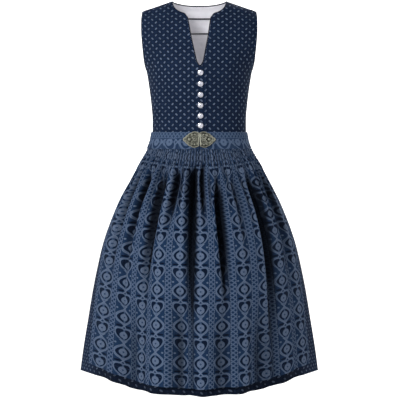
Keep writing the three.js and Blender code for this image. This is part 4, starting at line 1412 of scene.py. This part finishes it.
def small_folds(seed: int, count: int, width: Range, depth: Range, length: Range) -> tuple:
    """Small folds between the large ones, with uneven places, widths, depths and lengths.

    Args:
        seed: Seed of the draws.
        count: How many folds.
        width: Least and greatest half width.
        depth: Least and greatest depth, below zero for a ridge.
        length: Shortest and longest run from the deepest place to where the fold has run out.

    Returns:
        Rows as in APRON_FOLDS.
    """
    draw = np.random.default_rng(seed)
    rows = []
    for i in range(count):
        at = -0.97 + 1.94 * (i + draw.uniform(0.15, 0.85)) / count
        deepest = draw.uniform(100, 135)
        sizes = (draw.uniform(*width), draw.uniform(*depth), draw.uniform(70, 80))
        rows.append((at, *sizes, deepest, deepest + draw.uniform(*length), 0.0, 0.0))
    return tuple(rows)


def panel_drops(top: float, hem: float, head: int, body: int, dense: float = 112) -> Points:
    """Drops of a panel's rows: close together in its head, then opening out to the hem.

    Args:
        top: The top edge's drop.
        hem: The hem's drop.
        head: How many close rows.
        body: How many rows below them.
        dense: The drop where the close rows end.

    Returns:
        The drops.
    """
    share = np.linspace(0, 1, body + 1)[1:]
    return np.concatenate([np.linspace(top, dense, head), dense + (hem - dense) * share**1.25])


@dataclass(frozen=True)
class Panel:
    """A skirt panel: the skirt's form, raised or let in along level vectors.

    Its rows are drops at the centre, and its edge is half the angle that it spans, or a table of
    it by drop. "raised", "drift", "flat" and "hollow" are functions of place, angle and drop: how
    far the cloth stands out, how many degrees the folds draw it aside, the place across the flat
    cloth, and how much painted shade the cloth takes in a fold.
    """

    facing: Facing
    rows: Points
    columns: int
    edge: Table | float
    hem: Table
    raised: Form
    drift: Form
    flat: Form
    hollow: Form

    def sheet(self) -> Sheet:
        """The panel's outer face."""
        rows = self.rows
        place, row = np.meshgrid(np.linspace(-1, 1, self.columns + 1), rows)
        spans = isinstance(self.edge, Table)
        angle = (self.edge.at("angle", row) if spans else self.edge) * place
        end = self.hem.at("drop", np.abs(angle))
        drop = rows[0] + (end - rows[0]) * (row - rows[0]) / (rows[-1] - rows[0])
        where = (place, angle, drop)
        form, out = skirt_form(angle + self.drift(*where) + 90 * (1 + self.facing.value), drop)
        points = form + out * self.raised(*where)[..., None]
        normals = grid_normals(points, out)
        if not spans:
            normals[:, [0, -1], 1] = 0
            normals = unit(normals)
        points[..., 1] += self.facing.value * SEAM_GAP / 2
        length = reach_down(form)
        cloth = join(self.flat(*where), length[-1:] - length)
        return Sheet(points, normals, cloth, np.clip(self.hollow(*where), 0, 1))


def reach_down(form: Points) -> Points:
    """How far down each column of a grid its points lie."""
    down = np.linalg.norm(np.diff(form, axis=0), axis=-1)
    return np.concatenate([np.zeros((1, form.shape[1])), np.cumsum(down, axis=0)])


@dataclass
class Skirt:
    """The navy skirt in two widths and the striped apron over its front."""

    finishes: Finishes
    columns: int = 400
    front_columns: int = 200
    apron_lift: float = 4.5
    darkest: float = 23.0
    # Where a fold takes painted shade: factors on its width and depth, and how far aside it is read.
    flank: tuple[float, float, float] = (0.82, 1.1, 1.5)
    core: tuple[float, float, float] = (0.5, 1.6, -0.4)
    under_apron: tuple[float, float] = (1.6, 1.15)
    back_widen: float = 1.12
    shade_power: float = 1.2
    apron_shade: float = 0.92
    front_shade: float = 0.6
    back_shade: float = 0.8
    covered: tuple[float, float] = (50, 68)
    front_cut: float = 440.0
    back_cut: float = 460.0
    apron_gathers: Gathers = Gathers(56, 4.0, 40, 80, 112, (51, 58, 65, 72), 7)
    back_gathers: Gathers = Gathers(64, 3.0, 40, 66, 108, (50, 57), 11)
    large: Folds = Folds(APRON_FOLDS + small_folds(5, 26, (3.2, 5.2), (5, 12), (50, 210)))
    small: Folds = Folds(small_folds(6, 30, (3.4, 6.5), (-6, -2), (60, 260)), 2.0)
    behind: Folds = Folds(SKIRT_BACK_FOLDS + small_folds(9, 28, (3.4, 5.6), (5, 12), (60, 220)))
    behind_small: Folds = Folds(small_folds(10, 32, (3.4, 6.5), (-6, -2), (70, 280)), 2.0)
    stripe_places: Table = Table(
        "place u",
        (
            (-1.0, -344), (-0.826, -310), (-0.585, -248), (-0.421, -186), (-0.3, -124), (-0.137, -62),
            (0.01, 0), (0.17, 62), (0.324, 124), (0.506, 186), (0.679, 248), (0.897, 310), (1.0, 340),
        ),
    )

    def apron_raised(self, place: Points, angle: Points, drop: Points) -> Points:
        """The apron's lift and gathers, less its folds."""
        span = APRON_EDGE.at("angle", drop)
        folds = self.large.depth(place, span, drop) + self.small.depth(place, span, drop)
        return self.apron_lift - folds + self.apron_gathers.rise(place, drop)

    def apron_fold_painted_shade(self, place: Points, angle: Points, drop: Points) -> Points:
        """Painted shade on each fold's outer flank and narrow core, and between the smocked tubes."""
        span = APRON_EDGE.at("angle", drop)
        flank = self.large.depth(place, span, drop, *self.flank)
        core = self.large.depth(place, span, drop, *self.core)
        deep = np.clip(np.maximum(flank, core) / self.darkest, 0, 1) ** self.shade_power
        return np.maximum(self.apron_shade * deep, self.apron_gathers.between(place, drop))

    def apron_flat(self, place: Points, angle: Points, drop: Points) -> Points:
        """The stripes' places; where smocking holds it most cloth lies between the tubes."""
        return self.stripe_places.at("u", place) + self.apron_gathers.hidden(place, drop)

    def front_drift(self, place: Points, angle: Points, drop: Points) -> Points:
        """The large folds draw the apron and the skirt's front aside alike."""
        span = APRON_EDGE.at("angle", drop)
        return self.large.drift(angle / span, span, drop)

    def front_raised(self, place: Points, angle: Points, drop: Points) -> Points:
        """The skirt's front falls in under the apron's folds, wider and deeper."""
        span = APRON_EDGE.at("angle", drop)
        return -self.large.depth(angle / span, span, drop, *self.under_apron)

    def front_hollow(self, place: Points, angle: Points, drop: Points) -> Points:
        """A painted shadow of the apron on the front, where the apron covers it."""
        return self.front_shade * (1 - smoothstep(np.abs(angle), *self.covered))

    def front_flat(self, place: Points, angle: Points, drop: Points) -> Points:
        """The front is gathered evenly."""
        return place * self.front_cut

    def back_raised(self, place: Points, angle: Points, drop: Points) -> Points:
        """The skirt's back, gathered and folded."""
        folds = self.behind.depth(place, SIDE_SEAM, drop) + self.behind_small.depth(place, SIDE_SEAM, drop)
        return self.back_gathers.rise(place, drop) - folds

    def back_fold_painted_shade(self, place: Points, angle: Points, drop: Points) -> Points:
        """Painted shade by the depth of the back's folds, and between its gathers."""
        folds = self.behind.depth(place, SIDE_SEAM, drop, self.back_widen)
        deep = np.clip(folds / self.darkest, 0, 1) ** self.shade_power
        return np.maximum(self.back_shade * deep, self.back_gathers.between(place, drop))

    def back_drift(self, place: Points, angle: Points, drop: Points) -> Points:
        """The folds of the back draw it aside."""
        return self.behind.drift(angle / SIDE_SEAM, SIDE_SEAM, drop)

    def back_flat(self, place: Points, angle: Points, drop: Points) -> Points:
        """The back is gathered evenly, with most cloth between the tubes of its head."""
        return place * self.back_cut + 4 + self.back_gathers.hidden(place, drop)

    def build(self) -> None:
        """Makes the apron, the skirt's front and back widths, and their hem stitches."""
        f = self.finishes
        apron = Panel(
            Facing.FRONT, panel_drops(46.6, 652, 34, 86), self.columns, APRON_EDGE, APRON_HEM,
            self.apron_raised, self.front_drift, self.apron_flat, self.apron_fold_painted_shade,
        ).sheet()
        front = Panel(
            Facing.FRONT, panel_drops(18.4, 672, 14, 70), self.front_columns, SIDE_SEAM, SKIRT_HEM,
            self.front_raised, self.front_drift, self.front_flat, self.front_hollow,
        ).sheet()
        back = Panel(
            Facing.BACK, panel_drops(18.4, 672, 36, 84), self.columns, SIDE_SEAM, SKIRT_HEM,
            self.back_raised, self.back_drift, self.back_flat, self.back_fold_painted_shade,
        ).sheet()
        piece = wall("striped_apron", apron, CLOTH)
        dress(piece, [f.apron, f.apron_wrong_side], "apron_cotton", "apron")
        piece = wall("skirt_front_width", front, CLOTH)
        dress(piece, [f.navy, f.wrong_side], "printed_cotton", "skirt_front")
        piece = wall("skirt_back_width", back, CLOTH)
        dress(piece, [f.navy, f.wrong_side], "printed_cotton", "skirt_back")
        lines = [sheet.line(-4, slice(1, -1)) for sheet in (apron, front, back)]
        Stitching(spacing=4.0).sew("hem_stitches", lines, f.thread, "printed_cotton")


def around(x: float, y: float, radius: Points | float, angle: Points, z: Points | float) -> Points:
    """Points at a radius and an angle about a place in the clasp's plane, at a height."""
    return join(x + radius * np.cos(angle), y + radius * np.sin(angle), z)


@dataclass
class Clasp:
    """A two-part cast clasp: a dark lobed plate with a beaded rim, scrolls, bosses and grains."""

    finishes: Finishes
    length: float = 43.8
    seat_x: float = 21.5
    seat_drop: float = 21.0
    half_gap: float = 0.35
    seat: float = 0.3
    plate: float = 1.4
    outline: Table = Table(
        "x top bottom",
        (
            (0, 18.6, 18.6), (5.5, 21.2, 20.6), (11.5, 22.4, 22.2), (17.5, 21, 21), (21, 18.6, 18.8),
            (26, 17.6, 17.6), (30.5, 13.4, 13.6), (34.5, 11, 11), (38, 6.6, 6.8), (41.5, 5, 5),
            (43.8, 1.6, 1.6),
        ),
    )
    # Bosses: place, radius and rise. Scrolls: place, radius, turns and first angle.
    bosses: tuple = ((26.5, 0.6, 3.9, 2.8), (11.5, 13.4, 2.4, 1.9), (11.5, -13.4, 2.4, 1.9))
    scrolls: tuple = (
        (12.4, 1.0, 7.4, 1.35, 20), (12.4, 1.0, 3.6, 1.0, 200), (5.4, 11.2, 3.4, 1.2, 250),
        (5.4, -11.2, 3.4, 1.2, 110), (19.0, 12.2, 3.4, 1.25, 300), (19.0, -12.2, 3.4, 1.25, 60),
        (30.0, 7.6, 3.0, 1.2, 330), (29.4, -8.8, 3.2, 1.2, 30), (35.2, 4.2, 2.0, 1.1, 0),
        (35.2, -4.2, 2.0, 1.1, 0), (18.4, 4.6, 2.2, 1.2, 90), (18.2, -4.4, 2.2, 1.2, 270),
    )
    tip: tuple = (38.6, 0.0, 3.1)
    curl_pitch: float = 4.7
    curl: float = 1.75
    curl_room: float = 4.6
    curl_rows: int = 11
    rim_margin: float = 1.1
    grain_margin: float = 3.2
    grain_spacing: float = 2.3
    grain: float = 0.8
    collar: float = 0.9
    collar_grain: float = 0.7
    bar_x: float = 2.2
    bar_reach: float = 15.5

    def edges(self, margin: float, count: int) -> list[Points]:
        """The rippled outline drawn in by a margin: x, and the top and bottom edge there."""
        share = np.linspace(0, 1, count)
        x = self.half_gap + margin + (self.length - self.half_gap - 2 * margin) * share
        ripple = 0.35 * np.abs(np.sin(share * math.pi * 11))
        sides = self.outline.read("top bottom", share * self.length)
        return [x, *(np.maximum(side - margin + ripple, 0.8) for side in sides)]

    def slab(self) -> Shell:
        """The lobed plate: a grid between the lower and the upper edge, at two heights."""
        x, top, bottom = (side[:, None] for side in self.edges(0.0, 61))
        y = -bottom + (top + bottom) * np.linspace(0, 1, 9)
        points = np.concatenate([join(x, y, z).reshape(-1, 3) for z in (self.plate, 0.0)])
        return points, slab_faces(*y.shape)

    def rim_path(self, margin: float, z: float) -> Points:
        """The outline, drawn in by a margin, as a ring of points at a height."""
        x, top, bottom = self.edges(margin, 60)
        return np.concatenate([join(x, top, z), join(x, -bottom, z)[::-1]])

    def dome(
        self, x: float, y: float, radius: float, rise: float, base: float, cells: tuple = (28, 10)
    ) -> Shell:
        """A whole squashed sphere: radius cos e across and rise sin e over its middle."""
        e = np.linspace(-math.pi / 2, math.pi / 2, cells[1] + 1)[1:-1, None]
        t = np.linspace(0, TURN, cells[0], endpoint=False)
        grid = around(x, y, radius * np.cos(e), t, base + rise * np.sin(e))
        return capped(grid, [np.array([x, y, base - rise]), np.array([x, y, base + rise])])

    def beads(self, centres: Points, radius: float) -> Shell:
        """Grains of metal: low spheres of ten by five cells on the given places."""
        return joined([self.dome(x, y, radius, radius, self.plate + 0.2, (10, 5)) for x, y, *_ in centres])

    def scroll(self, x: float, y: float, radius: float, turns: float, start: float) -> Shell:
        """A tapering spiral wire whose radius shrinks evenly with its angle."""
        t = np.linspace(0, 1, int(26 * turns))
        angle = math.radians(start) + TURN * turns * t
        path = around(x, y, radius * (1 - 0.72 * t), angle, self.plate + 0.25 + 0.5 * t)
        return tube(path, UPWARDS, 0.85 - 0.25 * t, 8, False)

    def filigree(self) -> Shell:
        """Small curls of thin wire on a staggered grid that fill the plate between the scrolls."""
        parts = []
        t = np.linspace(0, 1, 18)
        for row in range(self.curl_rows):
            y = (row - (self.curl_rows - 1) / 2) * self.curl_pitch * 0.87
            for column in range(9):
                x = 3.6 + (column + 0.5 * (row % 2)) * self.curl_pitch
                room = float(self.outline.at("top" if y > 0 else "bottom", x)) - abs(y)
                near = min(math.hypot(x - bx, y - by) - br for bx, by, br, _ in self.bosses)
                if room < self.curl_room or x > self.length - 4 or near < 2.6:
                    continue
                angle = math.radians((row * 83 + column * 137) % 360) + TURN * 1.15 * t
                path = around(x, y, self.curl * (1 - 0.5 * t), angle, self.plate + 0.3)
                parts.append(tube(path, UPWARDS, 0.52, 6, False))
        return joined(parts)

    def half(self, with_bar: bool) -> Shell:
        """One half, flat in its own plane: x out to its tip, y up and z out of the band."""
        parts = [self.slab(), tube(self.rim_path(self.rim_margin, self.plate + 0.3), UPWARDS, 1.0, 10, True)]
        parts += [self.scroll(*row) for row in self.scrolls]
        parts.append(self.filigree())
        parts += [self.dome(x, y, r, rise, self.plate) for x, y, r, rise in self.bosses]
        grains = self.rim_path(self.grain_margin, 0.0)
        i, share = along(grains, self.grain_spacing)
        after = np.minimum(i + 1, len(grains) - 1)
        centres = grains[i] + (grains[after] - grains[i]) * share[:, None]
        parts.append(self.beads(centres, self.grain))
        for x, y, r, _ in self.bosses:
            t = np.linspace(0, TURN, max(8, int(r * 3)), endpoint=False)
            parts.append(self.beads(around(x, y, r + self.collar, t, 0.0), self.collar_grain))
        t = np.linspace(0, TURN, 24, endpoint=False)
        parts.append(tube(around(*self.tip, t, self.plate + 0.2), UPWARDS, 0.9, 8, True))
        if with_bar:
            y = np.linspace(-self.bar_reach, self.bar_reach, 40)
            thick = 1.0 + 0.2 * np.abs(np.sin(y * math.pi / 5.2))
            parts.append(tube(join(self.bar_x, y, self.plate + 0.8), UPWARDS, thick, 12, False))
        return joined(parts)

    def build(self) -> None:
        """Lays both halves on the band, each along the chord of the band below it."""
        drops = np.array([0.0, self.seat_drop, BAND_FOOT])
        width = float(BAND.at("half_width", self.seat_drop))
        for side in Side:
            angle = side.value * math.asin(self.seat_x / width)
            top, point, bottom = band_point(np.full(3, angle), drops)
            nearby = band_point(angle + np.array([1, -1]) * PROBE / width, np.full(2, self.seat_drop))
            ahead = nearby[0] - nearby[1]
            slope = unit(top - bottom)
            tangent = unit(ahead - slope * (ahead @ slope))
            normal = np.cross(tangent, slope)
            normal = normal if normal @ [math.sin(angle), -math.cos(angle), 0.0] > 0 else -normal
            proud = max((top - point) @ normal, (bottom - point) @ normal)
            flat, faces = self.half(side is Side.LEFT)
            x, y, z = flat[:, :1] - self.seat_x, flat[:, 1:2], flat[:, 2:] + proud + self.seat
            placed = point + side.value * x * tangent + y * slope + z * normal
            relief = np.clip((flat[:, 2] - self.plate + 0.15) / 1.5, 0, 1)
            name = f"clasp_{side.name.lower()}"
            piece = make_object(f"silver_{name}", (placed, faces), marks={"relief": relief})
            dress(piece, [self.finishes.clasp], "clasp_metal", name)


@dataclass
class Studio:
    """A pale floor that curves up all round the dress, soft lights and the photo's camera."""

    floor_z: float = -1.42
    glow: float = 0.56
    ambient: float = 0.06
    camera_at: tuple[float, float, float] = (0.002, -2.866, -0.35)
    lens: float = 91.8
    shift: float = -0.11
    pitch: float = 1.35
    bowl_level: float = 6.0
    bowl_bend: float = 4.0
    bowl_top: float = 14.0
    # Lights: place, what each is turned to, size and power.
    lights: dict = field(
        default_factory=lambda: {
            "key": ((-2.1, -2.9, 1.4), DRESS_MIDDLE, 0.9, 156),
            "fill": ((2.6, -2.8, 0.4), DRESS_MIDDLE, 1.4, 11),
            "rear": ((1.7, 3.0, 1.5), DRESS_MIDDLE, 1.4, 130),
            "paper": ((0, 3.0, 4.5), (0, 9.5, 0.5), 5.0, 300),
        }
    )

    def backdrop(self) -> None:
        """A bowl: a level round, a quarter turn and an upright stretch, turned about the dress.

        Its paper glows faintly with painted light far from the dress and near the floor, so that it
        looks white.
        """
        turn = np.linspace(0, math.pi / 2, 24)
        curve = self.bowl_level + self.bowl_bend * np.sin(turn)
        rise = self.bowl_bend - self.bowl_bend * np.cos(turn)
        out = np.concatenate([[0.0, 2.0, 4.0], curve, [self.bowl_level + self.bowl_bend]])[:, None]
        z = np.concatenate([[0.0, 0.0, 0.0], rise, [self.bowl_top]])[:, None] + self.floor_z
        grid = around(0.0, 0.0, out, np.linspace(0, TURN, 97), z)
        mesh = bpy.data.meshes.new("studio_floor")
        mesh.from_pydata(grid.reshape(-1, 3).tolist(), [], grid_faces(*grid.shape[:2]).tolist())
        mesh.polygons.foreach_set("use_smooth", np.ones(len(mesh.polygons), dtype=bool))
        material, tree = new_material("studio_paper_lit_with_painted_glow")
        place = add_node(tree, "ShaderNodeTexCoord", {}, {}).outputs["Object"]
        apart = add_node(tree, "ShaderNodeSeparateXYZ", {}, {0: place}).outputs
        # Painted light: the paper's emission grows away from the dress and towards the floor.
        glow = work_out(tree, {"x": apart[0], "y": apart[1], "z": apart[2]}, f"""
            xx = x * x; far = y * y + xx; away := far * 0.018 + -0.2
            low := z * -0.3 + 1.35; both = away * low; glow = both * {self.glow}
        """)["glow"]
        surface(tree, {
            "Base Color": linear("f4f4f4"),
            "Roughness": 0.95,
            "Specular IOR Level": 0.1,
            "Emission Color": linear("ffffff"),
            "Emission Strength": glow,
        })
        material.cycles.emission_sampling = "NONE"
        mesh.materials.append(material)
        placed_in_scene("studio_floor", mesh)

    def light(self, name: str, at: Vector, aim: Vector, size: float, power: float) -> None:
        """A square soft light at a place, turned to what it lights."""
        data = bpy.data.lights.new(name, "AREA")
        data.size = size
        data.energy = power
        lamp = placed_in_scene(name, data)
        lamp.location = at
        lamp.rotation_euler = (aim - at).to_track_quat("-Z", "Y").to_euler()

    def build(self) -> None:
        """Sets the world, the lights and the camera."""
        self.backdrop()
        world = bpy.data.worlds.new("studio")
        world.use_nodes = True
        background = world.node_tree.nodes["Background"].inputs
        background[0].default_value = linear("ffffff")
        background[1].default_value = self.ambient
        bpy.context.scene.world = world
        for name, (at, aim, size, power) in self.lights.items():
            self.light(name, Vector(at), Vector(aim), size, power)
        data = bpy.data.cameras.new("camera")
        data.lens = self.lens
        data.shift_y = self.shift
        data.clip_end = 60
        camera = placed_in_scene("camera", data)
        camera.location = self.camera_at
        camera.rotation_euler = (math.radians(90 - self.pitch), 0.0, 0.0)
        bpy.context.scene.camera = camera
        bpy.context.scene.view_settings.view_transform = "Standard"


def main() -> None:
    """Builds the dress piece by piece."""
    logging.basicConfig(level=logging.INFO, format="%(name)s %(message)s")
    finishes = Finishes()
    bodice = Bodice(finishes)
    for part in (bodice, Buttons(finishes, bodice), Waistband(finishes), Skirt(finishes), Clasp(finishes)):
        part.build()
    Studio().build()


if __name__ == "__main__":
    main()
